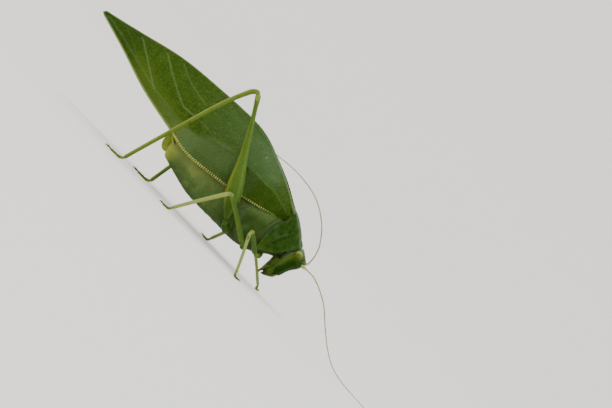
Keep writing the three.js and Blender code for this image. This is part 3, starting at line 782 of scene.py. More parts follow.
makePiece("upper_lip", plate(mouth["lip"]), mouthMaterial, ["labrum"])
makePiece("lower_lip", plate(mouth["lowerLip"]), mouthMaterial, ["labium"])
for side, name in sideNames.items():
    bm = startMesh()

    def jawPlace(share, angle):
        polar = share * pi
        at, radii = mouth["jawAt"], mouth["jawRadii"]
        inwards = ease(-cos(polar), 0.2, 1) * 0.3
        point = Vector((at[0] + radii[0] * sin(polar) * cos(angle),
                        side * (at[1] - inwards + radii[1] * sin(polar) * sin(angle)),
                        at[2] + radii[2] * cos(polar)))
        return point, {"dark": ease(-cos(polar), 0.2, 0.8), "warm": 0.4 * ease(cos(polar), 0.1, 0.9)}

    addBlob(bm, 32, 32, jawPlace, evenness=1)
    bm.transform(headToBody)
    makePiece("jaw_" + name, bm, mouthMaterial, ["mandible_" + name])
    bm = startMesh()
    for key, radius in (("palp", 0.2), ("innerPalp", 0.14)):
        points = mirrored(mouth[key], side)
        for i, (a, b) in enumerate(zip(points, points[1:])):
            last = i == len(points) - 2
            thick = [(0, radius * 0.62), (0.75, radius * (1.05 if last else 0.95)), (1, radius * 0.9)]
            start = a - (b - a).normalized() * 0.06
            addLimb(bm, [start, (a + b) / 2, b], thick, sides=14, rings=22,
                    tints=lambda share, angle: {"warm": 0.5, "pale": 0.3 * hump(share - 0.9, 0.2),
                                                "dark": 0.85 * ease(share, 0.45, 0.9) if last else 0.1})
    makePiece("palps_" + name, bm, mouthMaterial, ["palp_" + name])
print("mouth made")


# feelers: a stout first joint, a bead, then a long thread of short rings

feeler = {
    "right": [(1.82, -0.66, 8.93), (2.5, -0.85, 8.88), (4.3, -1.35, 8.86), (6.3, -2.0, 8.2), (8.7, -2.8, 6.9),
              (11.7, -3.9, 4.35), (14.7, -5.2, 2.05), (17.2, -6.5, 0.74), (20.0, -8.4, 0.2),
              (23.0, -10.8, 0.1), (25.7, -13.4, 0.06)],
    "left": [(1.85, 0.66, 9.0), (2.2, 0.98, 9.9), (2.05, 1.35, 11.2), (1.25, 2.2, 13.3), (-1.2, 3.6, 16.1),
             (-4.6, 5.0, 18.15), (-8.4, 6.1, 18.95), (-12.5, 7.1, 18.9), (-16.5, 8.0, 18.2),
             (-20.5, 8.78, 16.95)],
    "socket": (1.15, 0.58, 8.75),
    "scapeRadius": 0.3,
    "scapeLength": 0.75,
    "beadRadius": 0.17,
    "threadRadius": [(0, 0.125), (0.1, 0.11), (0.6, 0.085), (1, 0.05)],
    "ringPitch": 0.32,
    "darkEvery": 9,
}
threadRadius = along(feeler["threadRadius"])
for side, name in sideNames.items():
    points = [Vector(p) for p in feeler[name]]
    route, length = makePath(points)
    socket = mirrored([feeler["socket"]], side)[0]
    bm = startMesh()
    # the stout first joint sits in its socket on the brow
    scapeEnd = route(feeler["scapeLength"] / length)
    scape = [(0, 0.2), (0.45, feeler["scapeRadius"]), (0.85, 0.25), (1, 0.17)]
    addLimb(bm, [socket, (socket + scapeEnd) / 2, scapeEnd], scape, sides=24, rings=28,
            tints=lambda share, angle: {"warm": 0.6, "pale": 0.5 * ease(share, 0.5, 0.9)})
    beadFrom = route((feeler["scapeLength"] - 0.1) / length)
    beadTo = route((feeler["scapeLength"] + 0.38) / length)
    bead = [(0, 0.1), (0.6, feeler["beadRadius"]), (1, 0.13)]
    addLimb(bm, [beadFrom, (beadFrom + beadTo) / 2, beadTo], bead, sides=16, rings=16,
            tints={"pale": 0.5})
    rings = round(length / feeler["ringPitch"])

    def threadSize(share):
        return threadRadius(share) * (0.9 + 0.14 * ((share * rings) % 1))

    def threadTints(share, angle):
        darkRing = 0.45 if int(share * rings) % feeler["darkEvery"] == 0 else 0
        return {"dark": 0.35 * hump((share * rings) % 1, 0.25) + 0.3 * ease(share, 0.6, 1) + darkRing}

    addLimb(bm, [scapeEnd] + points[2:], threadSize, sides=10, rings=rings * 5,
            evenness=1, floor=0.01, across=(0.2, 1, 0.1), tints=threadTints)
    makePiece("feeler_" + name, bm, feelerMaterial,
              [f"antenna_{name}_{i}" for i in (1, 2, 3)])
print("feelers made")


# back shield (pronotum): a saddle with a thick rim and two side keels

saddle = {
    "frontX": [(0, -0.8), (0.3, -1.1), (0.55, -1.85), (1, -3.5)],
    "frontZ": [(0, 11.2), (0.3, 10.55), (0.55, 9.2), (1, 6.95)],
    "rearX": [(0, -6.4), (0.25, -6.1), (0.42, -5.45), (0.6, -6.1), (0.78, -6.38), (0.9, -6.25), (1, -5.78)],
    "rearZ": [(0, 14.86), (0.25, 14.42), (0.42, 12.7), (0.6, 11.15), (0.78, 9.3), (0.9, 7.3), (1, 5.22)],
    "out": [(0, 0), (0.28, 1.9), (0.42, 2.4), (0.7, 2.92), (1, 2.72)],
    "arch": 0.45,
    "swell": 0.08,
    "heights": {"rim": 0.05, "inner": -0.04, "keel": 0.06, "sulcus": -0.06, "rearSulcus": -0.05,
                "pit": -0.10, "middle": -0.04, "lump": 0.05},
    "frontNarrowing": 0.82,
    "keel": 0.235,
    "pits": [(-3.8, 11.2, 0.36), (-4.7, 10.0, 0.32), (-3.6, 9.9, 0.3), (-4.35, 8.3, 0.24)],
    "steps": (110, 190),
    "wall": 0.13,
}
saddleCurves = {key: along(saddle[key]) for key in ("frontX", "frontZ", "rearX", "rearZ", "out")}


def saddlePoint(s, t):
    across = 2 * t - 1
    down = abs(across)
    lengthwise = lerp(-0.045, 1.0, s)
    narrowing = lerp(saddle["frontNarrowing"], 1, lengthwise)
    bulge = saddle["arch"] * 4 * lengthwise * (1 - lengthwise) * (1 - down)
    return Vector((
        lerp(saddleCurves["frontX"](down), saddleCurves["rearX"](down), lengthwise),
        copysign(saddleCurves["out"](down) * narrowing, across),
        lerp(saddleCurves["frontZ"](down), saddleCurves["rearZ"](down), lengthwise) + bulge,
    ))


def saddleRelief(s, t, point):
    down = abs(2 * t - 1)
    disc = ease(down, 0.28, 0.2)
    height = lerp(4.5, 9.5, s)
    edge = min(s * 3.6, (1 - s) * 3.6, (1 - down) * height)
    rim = hump(edge, 0.34)
    inner = hump(edge - 0.55, 0.22)
    keel = hump((down - saddle["keel"]) * height, 0.3)
    sulcus = hump(s - 0.36 - 0.12 * down, 0.035) * ease(down, 0.02, 0.1)
    rearSulcus = hump(s - 0.63 + 0.05 * down, 0.03) * ease(down, 0.02, 0.1) * ease(down, 0.75, 0.6)
    pit = max(hump(hypot(point.x - x, point.z - z), size) for x, z, size in saddle["pits"])
    middle = hump(down * height, 0.14) * ease(s, 0.06, 0.2) * ease(s, 0.95, 0.85)
    lump = noise.noise(point * 1.3)
    lift = saddle["swell"] + totalLift(saddle["heights"], rim=rim, inner=inner, keel=keel, sulcus=sulcus,
                                       rearSulcus=rearSulcus, pit=pit, middle=middle, lump=lump)
    stripe = hump((down - saddle["keel"] + 0.015) * height, 0.42)
    patch = ease(cloudAt(point.x * 0.8, point.z * 0.8, 2), 0, 0.45) * (1 - disc)
    tints = {
        # a pale line along the side keel, brightened as painted sheen where the shield turns to the light
        "pale": 0.16 * stripe + 0.08 * rim + 0.05 * middle,
        # dark in the grooves across the shield and in the groove inside the rim: painted shade
        "dark": 0.35 * sulcus + 0.25 * rearSulcus + 0.9 * pit + 0.25 * inner * (1 - disc),
        # bluish on the top of the shield: painted sky reflection; the patches are bluish at random
        "blue": 0.75 * disc + 0.4 * patch,
        "warm": 0.25 * ease(down, 0.8, 1) + 0.3 * hump(down - 0.9, 0.12) * ease(s, 0.5, 0.8),
    }
    return lift, tints, Vector((point.x, (down - 0.5) * height, 0))


bm = makeSheet(*saddle["steps"], saddlePoint, saddleRelief, lambda p: Vector((0, p.y, 1)))
makePiece("back_shield", bm, shellMaterial, ["pronotum"], wall=saddle["wall"])
print("back shield made")


# wing covers (tegmina)

tegmen = {
    "tipX": -51.8,
    "tipRound": 0.35,
    "ridge": [(-51.8, 15.3), (-45, 17.05), (-36.8, 19.05), (-27.7, 19.95), (-21.2, 20.25), (-18.2, 19.95),
              (-14.1, 18.6), (-10, 16.8), (-5.6, 14.4)],
    "margin": [(-51.8, 14.8), (-45, 12.95), (-37.7, 10.7), (-29.9, 9.2), (-25.5, 8.4), (-19.7, 8.9),
               (-13.2, 10.0), (-6.7, 11.8), (-5.6, 12.15)],
    "creaseOut": [(-51.8, 0.23), (-45, 1.1), (-37, 2.0), (-28, 3.35), (-20, 3.9), (-12, 3.68), (-5.6, 2.7)],
    "creaseDown": [(-51.8, 0.8), (-36, 0.8), (-26, 0.7), (-20, 0.56), (-12, 0.48), (-5.6, 0.5)],
    "marginOut": [(-51.8, 0.22), (-45, 1.0), (-37, 1.75), (-28, 3.05), (-20, 3.6), (-13, 3.35), (-9, 2.85),
                  (-5.6, 2.4)],
    "base": [(0, -6.95), (0.2, -6.6), (0.5, -6.0), (1, -6.75)],
    "fieldWidth": 1.55,
    "fieldFrom": 6.5,
    "fieldTo": 19,
    "fieldShare": 0.1,
    "ridgeOut": 0.45,
    "shoulder": 0.62,
    "dropShare": 0.12,
    "steps": (330, 104),
    "wall": 0.11,
    "netSize": 0.85,
    "netHeight": 0.022,
    "fieldNetHeight": 0.015,
    "waveHeight": 0.05,
    "keelHeight": 0.09,
    "edgeHeight": 0.04,
    "swell": 0.12,
}
wing = {key: along(tegmen[key])
        for key in ("ridge", "margin", "creaseOut", "creaseDown", "marginOut", "base")}

mainVein = [(-50.5, 15.0), (-47, 14.5), (-42, 13.3), (-36.4, 11.95), (-30, 11.35), (-26.1, 11.7),
            (-24.5, 12.4), (-22.3, 13.2), (-20.3, 13.7), (-16.8, 14.1), (-15, 14.2), (-12.3, 14.1),
            (-10.6, 14.3), (-6.9, 13.4)]
mainVeinZ = along(mainVein)
# veins on the side field: half width, height, paleness, and the route in x and z
veinRows = [
    (0.3, 0.08, 0.1, mainVein),
    (0.22, 0.05, 0.27, [(-36.4, 11.9), (-37.8, 12.7), (-40.1, 14.15), (-43.3, 16.1), (-44.6, 16.8)]),
    (0.22, 0.05, 0.27, [(-28.3, 13.6), (-29.1, 13.5), (-31, 13.4), (-33.2, 14.3), (-35.2, 15.4), (-37, 16.3),
                        (-39.4, 17.75)]),
    (0.2, 0.04, 0.2, [(-28.6, 16.2), (-30.5, 16.45), (-32.7, 16.9), (-34.3, 17.5), (-36.6, 18.6)]),
    (0.13, 0.04, 0.08, [(-41.6, 13.3), (-44.0, 14.6), (-47.4, 16.0)]),
    (0.2, 0.04, 0.12, [(-22.3, 13.2), (-25.4, 13.7), (-28.3, 13.6)]),
    (0.14, 0.035, 0.04, [(-17.0, 14.1), (-20.2, 15.5), (-24.5, 16.1), (-28.6, 16.2)]),
    (0.14, 0.035, 0.03, [(-10.6, 14.3), (-14.5, 15.9), (-18.5, 17.3), (-24, 18.3), (-29.5, 18.7),
                         (-33, 19.1)]),
]
lowerVeinsFrom = (-33.2, -30.6, -28.2, -25.9, -23.7, -21.6, -19.6, -17.6, -15.6, -13.6, -11.6, -9.8)
for x in lowerVeinsFrom:  # from the main vein to the lower margin
    foot = x - 1.6
    veinRows.append((0.12, 0.03, 0.03, [
        (x, mainVeinZ(x)), (foot, lerp(mainVeinZ(foot), wing["margin"](foot), 0.6)),
        (foot - 0.6, wing["margin"](foot - 0.6))]))
# with the lowest and highest x and z that each vein reaches
veins = [(width, height, pale, route, *([min(p[i] for p in route) - width, max(p[i] for p in route) + width]
                                        for i in (0, 1)))
         for width, height, pale, route in veinRows]

# pale specks on the side field: place, size and strength
speckSeed = random.Random(8)
specks = [(-15.3, 17.2, 0.26, 0.6), (-24.2, 14.0, 0.2, 0.5)]
specks += [(speckSeed.uniform(-20, -9), speckSeed.uniform(14.6, 18.5), speckSeed.uniform(0.1, 0.17),
            speckSeed.uniform(0.12, 0.4)) for _ in range(26)]
specks += [(speckSeed.uniform(-42, -20), speckSeed.uniform(11.5, 18), speckSeed.uniform(0.1, 0.16),
            speckSeed.uniform(0.08, 0.22)) for _ in range(40)]


def veinsAt(x, z):
    height = pale = 0
    for veinWidth, veinHeight, veinPale, route, (lowX, highX), (lowZ, highZ) in veins:
        if lowX < x < highX and lowZ < z < highZ:
            near = hump(distanceToLine(x, z, route), veinWidth)
            height = max(height, near * veinHeight)
            pale = max(pale, near * veinPale)
    return height, pale


def tegmenPoint(s, t, side):
    base = wing["base"](t)
    down = max(0, (t - tegmen["fieldShare"]) / (1 - tegmen["fieldShare"]))
    x = lerp(base + 1.3, tegmen["tipX"] + tegmen["tipRound"] * (2 * down - 1) ** 2, s)
    flatness = 1 - ease(-x, tegmen["fieldFrom"], tegmen["fieldTo"])
    cornerOut = tegmen["ridgeOut"] + tegmen["fieldWidth"] * flatness
    cornerOut *= lerp(0.45, 1, ease(x, -51.8, -46))
    ridgeZ = wing["ridge"](x) - lerp(0.2, 0.06, flatness) * ease(x, -51.8, -47)
    # near the tip the corner drops by no more than a share of the wing's height
    cornerDrop = min(lerp(0.55, 0.1, flatness), tegmen["dropShare"] * (ridgeZ - wing["margin"](x)))
    under = ease(x, base - 1.9, base + 0.4)  # the shoulder slips in under the back shield
    if t < tegmen["fieldShare"]:
        share = t / tegmen["fieldShare"]
        innerOut = lerp(cornerOut - 0.02, lerp(0.11, -0.32, flatness), ease(x, -51.3, -46))
        lap = (0.13 if side == left else -0.1) * flatness * (1 - share) ** 2
        return Vector((x, side * lerp(innerOut, cornerOut, share), ridgeZ - cornerDrop * share ** 1.5 + lap
                       - 0.08 * under))
    crease = wing["creaseDown"](x)
    bow = sin(pi / 2 * min(down / crease, 1))
    tuck = ease(down, crease, 1)
    out = lerp(lerp(cornerOut, wing["creaseOut"](x), bow), wing["marginOut"](x), tuck)
    out -= tegmen["shoulder"] * under * ease(down, 0, 0.25)
    z = lerp(ridgeZ - cornerDrop, wing["margin"](x), down) - 0.08 * under * (1 - down)
    return Vector((x, side * out, z))


def tegmenRelief(side):
    def relief(s, t, point):
        x, z = point.x, point.z
        height, pale = veinsAt(x, z)
        field = t < tegmen["fieldShare"]
        # the keel leaves the outer corner of the back field and runs up to the crest
        flatness = 1 - ease(-x, 9, 18)
        fromCorner = (point - tegmenPoint(s, tegmen["fieldShare"] * flatness, side)).length
        onSheet = Vector((x, z if not field else z + fromCorner, 0))
        cell = noise.voronoi(Vector((x, onSheet.y, 5)) / tegmen["netSize"])[0]
        web = 1 - ease(cell[1] - cell[0], 0, 0.22)
        wide = cloudAt(x * 0.45, onSheet.y * 0.45, 9)
        height += tegmen["netHeight"] * web + tegmen["waveHeight"] * wide
        if field:
            height, pale = tegmen["fieldNetHeight"] * web, 0
        keel = hump(fromCorner, 0.3)
        forward = ease(x, -21, -16)
        veinZ = mainVeinZ(x)
        below = ease(z, veinZ + 0.35, veinZ - 0.35)
        tip = ease(-x, 39, 46.5)
        margin = z - wing["margin"](x)
        # over the hump the upward-facing part above the main vein is bluish, a painted reflection of the sky,
        # ending in a soft slanting border before the shield
        front = ease(x, -9.2, -12.6)
        blue = ease(x, -31, -21) * (0.5 + 0.5 * ease(x, -20.5, -16)) * (1 - below) * front
        blue = max(blue * ease(z, 12.0, 14.4), 0.75 * ease(x, -30, -26) * ease(x, -15.5, -18) * below)
        wash = hump(hypot((x + 11.6) / 1.7, (z - 15.8) / 0.8), 1) * 0.1
        # less dark and bluish here: painted light against the shadow the hind femur casts
        underWash = hump(x + 14.6, 2.2) * below
        # darker below the main vein and towards the shield: painted shade where the cover turns down from the
        # light
        darkFront = max(below, 0.75 * (1 - front)) * ease(x, -18.6, -16.4) * lerp(0.8, 0.2, underWash)
        # a faint pale band just above the main vein: painted highlight on its ridge
        band = hump(z - veinZ - 0.25, 0.8) * ease(x, -28, -24) * ease(x, -18.5, -20.5) * 0.12
        low = ease(x, -17, -20) * ease(x, -38, -31) * below * lerp(0.1, 0.26, hump(x + 27.5, 4))
        speck = 0 if field else max(hump(hypot(x - spotX, z - spotZ), size) * share
                                    for spotX, spotZ, size, share in specks)
        mottle = ease(cloudAt(x * 0.9, onSheet.y * 0.9, 2), -0.2, 0.5)
        tints = {
            # bluish over the hump and on the back field in front: painted sky reflection
            "blue": max(blue * (0.7 + 0.3 * mottle), 0.7 * front if field and x > -20 else 0,
                        0.45 * underWash),
            "dark": max(max(darkFront, 1.3 * tip) * (0.75 + 0.25 * mottle),
                        0.3 * ease(z, 16.5, 18.5) * ease(-x, 24, 34)) * (1 - 0.5 * web),
            "warm": max(0.95 * ease(x, -26, -31) * ease(margin, 4.0, 1.4) * (1 - 0.85 * tip),
                        0.8 * hump(fromCorner, 0.3) * ease(-x, 24, 30)),
            "pale": max(pale, wash, band, speck, low, 0.4 * hump(fromCorner, 0.2) * (1 - forward),
                        # paler along the keel towards the front: the pale keel line, brightened as painted
                        # sheen
                        lerp(0.42, 0.2, ease(x, -12, -18)) * hump(fromCorner - 0.05, 0.4) * forward,
                        0.85 * hump(margin, 0.32) * ease(-x, 26, 30)),
            "comb": 0.85 * ease(x, -25.2, -23.6) * ease(x, -15.4, -17)
                    * ease(margin, 0.15, 0.35) * ease(margin, 1.9, 1.2),
        }
        edge = 0 if field else hump(margin, 0.25) * tegmen["edgeHeight"]
        return tegmen["swell"] + height + tegmen["keelHeight"] * keel + edge, tints, onSheet
    return relief


# the beaded yellow rim along the lower margin
rim = {
    "from": 0.035,
    "to": 0.998,
    "points": 60,
    "radius": [(-51.8, 0.07), (-44, 0.12), (-32, 0.15), (-27, 0.2), (-20, 0.2), (-14, 0.17), (-9, 0.15),
               (-6, 0.06)],
    "beadPitch": 0.4,
    "beadSwell": 0.8,
    "rings": 1250,
}
rimRadius = along(rim["radius"])


def rimBeads(x):
    return ease(-x, 6.8, 8) * ease(-x, 29, 27)


for side, name in sideNames.items():
    bm = makeSheet(*tegmen["steps"], lambda s, t: tegmenPoint(s, t, side), tegmenRelief(side),
                   lambda p: Vector((0, side, 0.8)))
    makePiece("wing_cover_" + name, bm, wingMaterial, ["tegmen_" + name], wall=tegmen["wall"])
    route = [tegmenPoint(lerp(rim["from"], rim["to"], i / rim["points"]), 1, side)
             for i in range(rim["points"] + 1)]
    for point in route:
        point.y += side * 0.05
    places = [point.x for point in route]

    def rimX(share):
        i = min(int(share * rim["points"]), rim["points"] - 1)
        return lerp(places[i], places[i + 1], share * rim["points"] - i)

    def beadAt(x):
        return abs(sin(pi * x / rim["beadPitch"]))

    def rimSize(share):
        x = rimX(share)
        return rimRadius(x) * (1 + rim["beadSwell"] * (beadAt(x) - 0.6) * rimBeads(x))

    def rimTints(share, angle):
        x = rimX(share)
        gap = (1 - ease(beadAt(x), 0.5, 0.85)) * rimBeads(x)
        solid = ease(-x, 21, 23)  # the rear half is one band, with few gaps
        front = ease(-x, 8.2, 7.2)
        glow = hump(x + 18.5, 2) + 0.6 * hump(x + 11, 2.6) + ease(x, -29.5, -28) * ease(-x, 19, 22)
        return {"dark": lerp(1.0, 0.25, solid) * gap * (1 - front), "pale": clamp(glow) * 0.75 * (1 - gap),
                "warm": 0.8 * ease(-x, 26, 30) + 0.4 * front}

    bm = startMesh()
    addLimb(bm, route, rimSize, sides=10, rings=rim["rings"], evenness=1, tints=rimTints)
    makePiece("wing_rim_" + name, bm, rimMaterial)
print("wing covers made")


# the hind wings lie folded like a fan between the covers
fan = {
    "upper": [(-47, 15.3), (-36, 16.6), (-24, 17.2), (-14.5, 14.6)],
    "lower": [(-47, 14.3), (-38, 12.2), (-29, 11.4), (-14.5, 12.9)],
    "pleats": 7,
    "pleatOut": 0.17,
    "steps": (150, 84),
    "wall": 0.05,
}
fanUpper, fanLower = curves(fan, "upper", "lower")


def fanPoint(s, t):
    x = lerp(fan["upper"][0][0], fan["upper"][-1][0], s)
    wave = cos(tau * fan["pleats"] * t)
    # the pleats grow shallow where the fan is narrow
    pleatOut = fan["pleatOut"] * clamp((fanUpper(x) - fanLower(x) - 0.8) / 3.5)
    return Vector((x, wave * pleatOut, lerp(fanLower(x), fanUpper(x), t)))


def fanRelief(s, t, point):
    wave = cos(tau * fan["pleats"] * t)
    return 0, {"dark": 0.5 * ease(abs(wave), 0.75, 1)}, Vector((point.x, t * 9, 0))


bm = makeSheet(*fan["steps"], fanPoint, fanRelief, lambda p: Vector((0, 1, 0)))
makePiece("hind_wing_fan", bm, fanMaterial, ["hindwings_folded"], wall=fan["wall"])
print("hind wings made")


# egg-laying blade and tail feelers

blade = {
    "route": [(-27.6, 0, 6.3), (-28.3, 0, 6.75), (-28.68, 0, 7.4), (-28.72, 0, 8.2), (-28.4, 0, 9.2),
              (-27.95, 0, 10.0)],
    "deep": [(0, 0.85), (0.25, 1.0), (0.6, 0.84), (0.85, 0.55), (1, 0.3)],
    "wide": [(0, 0.4), (0.4, 0.3), (1, 0.12)],
    "length": 4.5,
    "teeth": 15,
}
bladeDeep = along(blade["deep"])


def bladeSection(share, angle):
    # two valves with a shallow groove between them
    return 1 - 0.16 * hump(cos(angle) + 0.1, 0.14) * ease(share, 0.05, 0.2)


def bladeTints(share, angle):
    # dark along the groove between the valves: painted shade
    return {"dark": 0.5 * hump(cos(angle) + 0.1, 0.12) + 0.5 * ease(share, 0.8, 1),
            "pale": 0.4 * ease(abs(cos(angle)), 0.7, 1) * (1 - share)}


bm = startMesh()
bladeAxes = addLimb(bm, blade["route"], bladeDeep, blade["wide"], sides=44, rings=90,
                    section=bladeSection, tints=bladeTints)
for i in range(blade["teeth"]):
    for edge in (1, -1):
        share = lerp(0.45, 0.95, i / (blade["teeth"] - 1))
        point, upward, _, tangent = bladeAxes(share)
        deep = bladeDeep(share) * dome((1 - share) * blade["length"], bladeDeep(share))
        addSpine(bm, point + upward * edge * deep * 0.95, upward * edge + tangent * 0.8, 0.16, 0.05,
                 {"dark": 0.7})
makePiece("egg_blade", bm, bladeMaterial, ["ovipositor"])

tailFeeler = [(-27.6, 0.85, 7.7), (-28.1, 1.05, 8.05), (-28.7, 1.15, 8.5), (-29.0, 1.1, 9.15)]
for side, name in sideNames.items():
    bm = startMesh()
    addLimb(bm, mirrored(tailFeeler, side), [(0, 0.24), (0.5, 0.2), (1, 0.09)], sides=14, rings=30,
            tints=lambda share, angle: {"warm": 0.8, "dark": 0.6 * ease(share, 0.75, 1)})
    makePiece("tail_feeler_" + name, bm, skinMaterial, ["cercus_" + name])
print("tail made")


# legs

hindLeg = {
    "hip": (-12.7, 4.6, 5.4),
    "coxa": [(-11.2, 2.4, 3.95), (-11.9, 3.2, 4.25), (-12.4, 3.85, 4.75)],
    "coxaSize": [(0, 0.75), (0.5, 0.66), (1, 0.5)],
    "ring": [(-12.2, 3.7, 4.6), (-12.5, 4.15, 4.95), (-12.75, 4.6, 5.45)],
    "ringSize": [(0, 0.45), (0.5, 0.52), (1, 0.4)],
    "femurLength": 21.7,
    "femurDeep": [(0, 0.45), (0.05, 0.7), (0.11, 1.08), (0.2, 1.4), (0.3, 1.31), (0.42, 0.95), (0.55, 0.65),
                  (0.7, 0.45), (0.88, 0.37), (0.97, 0.46), (1, 0.46)],
    "femurWide": (0.17, 0.42),  # a fixed part, and a share of the depth
    "tibiaLength": 23.3,
    "tibiaDeep": [(0, 0.4), (0.06, 0.44), (0.2, 0.4), (0.7, 0.36), (0.96, 0.33), (1, 0.36)],
    "tibiaWide": 0.88,
    "darkSpot": 0.515,
    "foot": (3.8, 0.27),
    "poses": {
        right: {"knee": (-23.6, 23.85), "tibiaTop": (-1.1, 0, -0.5), "ankle": -31.75, "heading": 197},
        left: {"knee": (-22.3, 18.6), "tibiaTop": (-0.95, 0, -0.45), "ankle": -26.3, "heading": 168,
               "outward": -1},
    },
}
slimLegs = {
    "middle": {
        "hip": (-8.15, 3.35, 4.5),
        "coxa": [(-7.4, 1.7, 3.95), (-7.65, 2.35, 4.1), (-7.95, 2.85, 4.25)],
        "femurLength": 10.2,
        "tibiaLength": 9.2,
        "sizes": (0.48, 0.38, 0.37, 0.29),
        "blue": 0.1,
        "shine": (0.45, 0.6),
        "ear": 0,
        "foot": (2.6, 0.23),
        "poses": {
            right: {"knee": (-15.1, 9.15), "tibiaTop": (-0.55, 0.3, -0.75), "ankle": -20.2, "heading": 215,
                    "across": (0, 1, 0)},
            left: {"knee": (-9.0, 9.3), "tibiaTop": (-0.35, 0.4, -0.75), "ankle": -12.4, "heading": 130,
                   "outward": -1},
        },
    },
    "front": {
        "hip": (-5.4, 3.15, 4.7),
        "coxa": [(-4.95, 1.2, 5.6), (-4.65, 1.95, 4.95), (-4.85, 2.65, 4.75)],
        "femurLength": 6.0,
        "tibiaLength": 7.4,
        "sizes": (0.46, 0.38, 0.29, 0.25),
        "blue": 0.45,
        "shine": (0.35, 0.5),
        "ear": 1,  # the slit that katydids hear with
        "foot": (2.3, 0.23),
        "poses": {
            right: {"knee": (-8.3, 7.2), "tibiaTop": (0.1, 0.35, -0.75), "ankle": -5.3, "heading": 305},
            left: {"knee": (-7.35, 6.15), "tibiaTop": (0.55, 0.35, -0.65), "ankle": -1.1, "heading": 75},
        },
    },
}
ankleHeight = 1.0
hindFemurDeep, hindTibiaDeep = curves(hindLeg, "femurDeep", "tibiaDeep")


# The far end of a bone whose x and z are known: its length gives how far out it lies.
def reach(start, x, z, length, outward=1):
    inPlane = hypot(x - start[0], z - start[2])
    sideways = sqrt(max(length ** 2 - inPlane ** 2, 0))
    return Vector((x, start[1] + copysign(1, start[1]) * outward * sideways, z))


def legPoints(leg, side, pose):
    hip = mirrored([leg["hip"]], side)[0]
    kneeAt = reach(hip, *pose["knee"], leg["femurLength"])
    top = kneeAt + mirrored([pose["tibiaTop"]], side)[0]
    ankle = reach(top, pose["ankle"], ankleHeight, leg["tibiaLength"], pose.get("outward", 1))
    return hip, kneeAt, top, ankle


def between(a, b, share, bowX=0.0, bowZ=0.0):
    return a.lerp(b, share) + Vector((bowX, 0, bowZ))


def squareSection(share, angle):  # four soft edges
    return 1.07 / (abs(cos(angle)) ** 3 + abs(sin(angle)) ** 3) ** (1 / 3) * 0.93


def spineRow(bm, axesAt, size, angle, shares, length, radius, lean, tints):
    for share in shares:
        point, upward, side, tangent = axesAt(share)
        out = upward * cos(angle) + side * sin(angle)
        addSpine(bm, point + out * size(share) * 0.9, out + tangent * lean, length, radius, tints)


def spread(low, high, count):
    return [lerp(low, high, i / (count - 1)) for i in range(count)]


# Two lobes at the end of the femur hold the head of the tibia. Each station is how far along
# the femur it lies, how far out and how far up.
def addLobes(bm, femurEnd, stations, deep, wide, sides, rings, tints):
    point, upward, sideways, tangent = femurEnd
    for lobe in (1, -1):
        spine = [point + tangent * ahead + upward * up + sideways * lobe * out
                 for ahead, out, up in stations]
        addLimb(bm, spine, deep, wide, across=sideways, sides=sides, rings=rings, tints=tints)


# The foot: four joints with pads on the ground, and two claws.
def addFoot(bm, ankle, heading, length, thick):
    angle = radians(heading)
    ahead = Vector((cos(angle), sin(angle), 0))
    aside = Vector((-sin(angle), cos(angle), 0))
    ground = Vector((ankle.x, ankle.y, 0))

    def addPart(stations, deep, wide, sides, rings, tints):
        route = [ground + ahead * length * share + aside * out + Vector((0, 0, height))
                 for share, height, out in stations]
        addLimb(bm, route, [(share, thick * size) for share, size in wide],
                [(share, thick * size) for share, size in deep], across=(0, 0, 1), sides=sides, rings=rings,
                floor=0, tints=tints)

    def padTints(share, angle):
        return {"warm": 0.35, "pale": 0.2 * hump(share - 0.3, 0.3),
                "dark": 0.55 * ease(share, 0.7, 1) + 0.25 * ease(sin(angle), -0.2, -0.8)}

    joints = (
        (1.0, [(-0.02, 0.82, 0), (0.06, 0.45, 0), (0.2, 0.24, 0), (0.36, 0.17, 0)]),
        (1.05, [(0.31, 0.19, 0), (0.42, 0.18, 0), (0.54, 0.16, 0)]),
        (1.2, [(0.5, 0.18, 0), (0.6, 0.17, 0), (0.71, 0.16, 0)]),
    )
    for swell, stations in joints:
        addPart(stations, [(0, 0.75), (0.6, 0.95), (1, 0.8)],
                [(0, 0.75 * swell), (0.7, 1.15 * swell), (1, 0.9 * swell)], 18, 26, padTints)
    claw = [(0, 0.5), (0.6, 0.55), (1, 0.8)]
    addPart([(0.66, 0.2, 0), (0.8, 0.24, 0), (0.93, 0.26, 0)], claw, claw, 14, 26,
            lambda share, angle: {"warm": 0.3, "dark": 0.75 * ease(share, 0.35, 0.9)})
    claw = [(0, 0.3), (0.5, 0.22), (1, 0.06)]
    for side in (1, -1):
        addPart([(0.9, 0.26, side * 0.05), (0.97, 0.27, side * 0.15), (1.0, 0.14, side * 0.24),
                 (0.985, 0.025, side * 0.27)], claw, claw, 8, 18, {"dark": 0.85})


def finishLeg(bm, name, side, leg, pose, ankleAt):
    addFoot(bm, ankleAt, pose["heading"], *leg["foot"])
    suffix = "_" + name + "_" + sideNames[side]
    makePiece("leg" + suffix, bm, legMaterial,
              [bone + suffix for bone in ("coxa", "femur", "tibia", "tarsus")])


def thighSection(share, angle):
    keels = hump(sin(angle), 0.2) * (0.05 if cos(angle) > 0 else 0.02)
    return 1 + keels - hump(abs(sin(angle)) - 0.86, 0.1) * 0.035 * ease(share, 0.95, 0.8)


def thighWide(share):
    return hindLeg["femurWide"][0] + hindLeg["femurWide"][1] * hindFemurDeep(share)


def thighTints(share, angle):
    rear = ease(cos(angle), 0.45, 0.95)  # the lower edge
    return {
        "warm": (0.9 * rear + 0.35 * ease(share, 0.9, 1)) * ease(share, 0.06, 0.2),
        # darker green near the hip, painted shadow under the body, and along one side of the base, painted
        # shade
        "blue": max(0.35 * ease(cos(angle), 0.1, -0.5) * ease(share, 0.5, 0.1), ease(share, 0.3, 0.08)),
        "pale": 0.35 * ease(share, 0.93, 1) + 0.18 * hump(cos(angle) + 0.55, 0.25),
    }


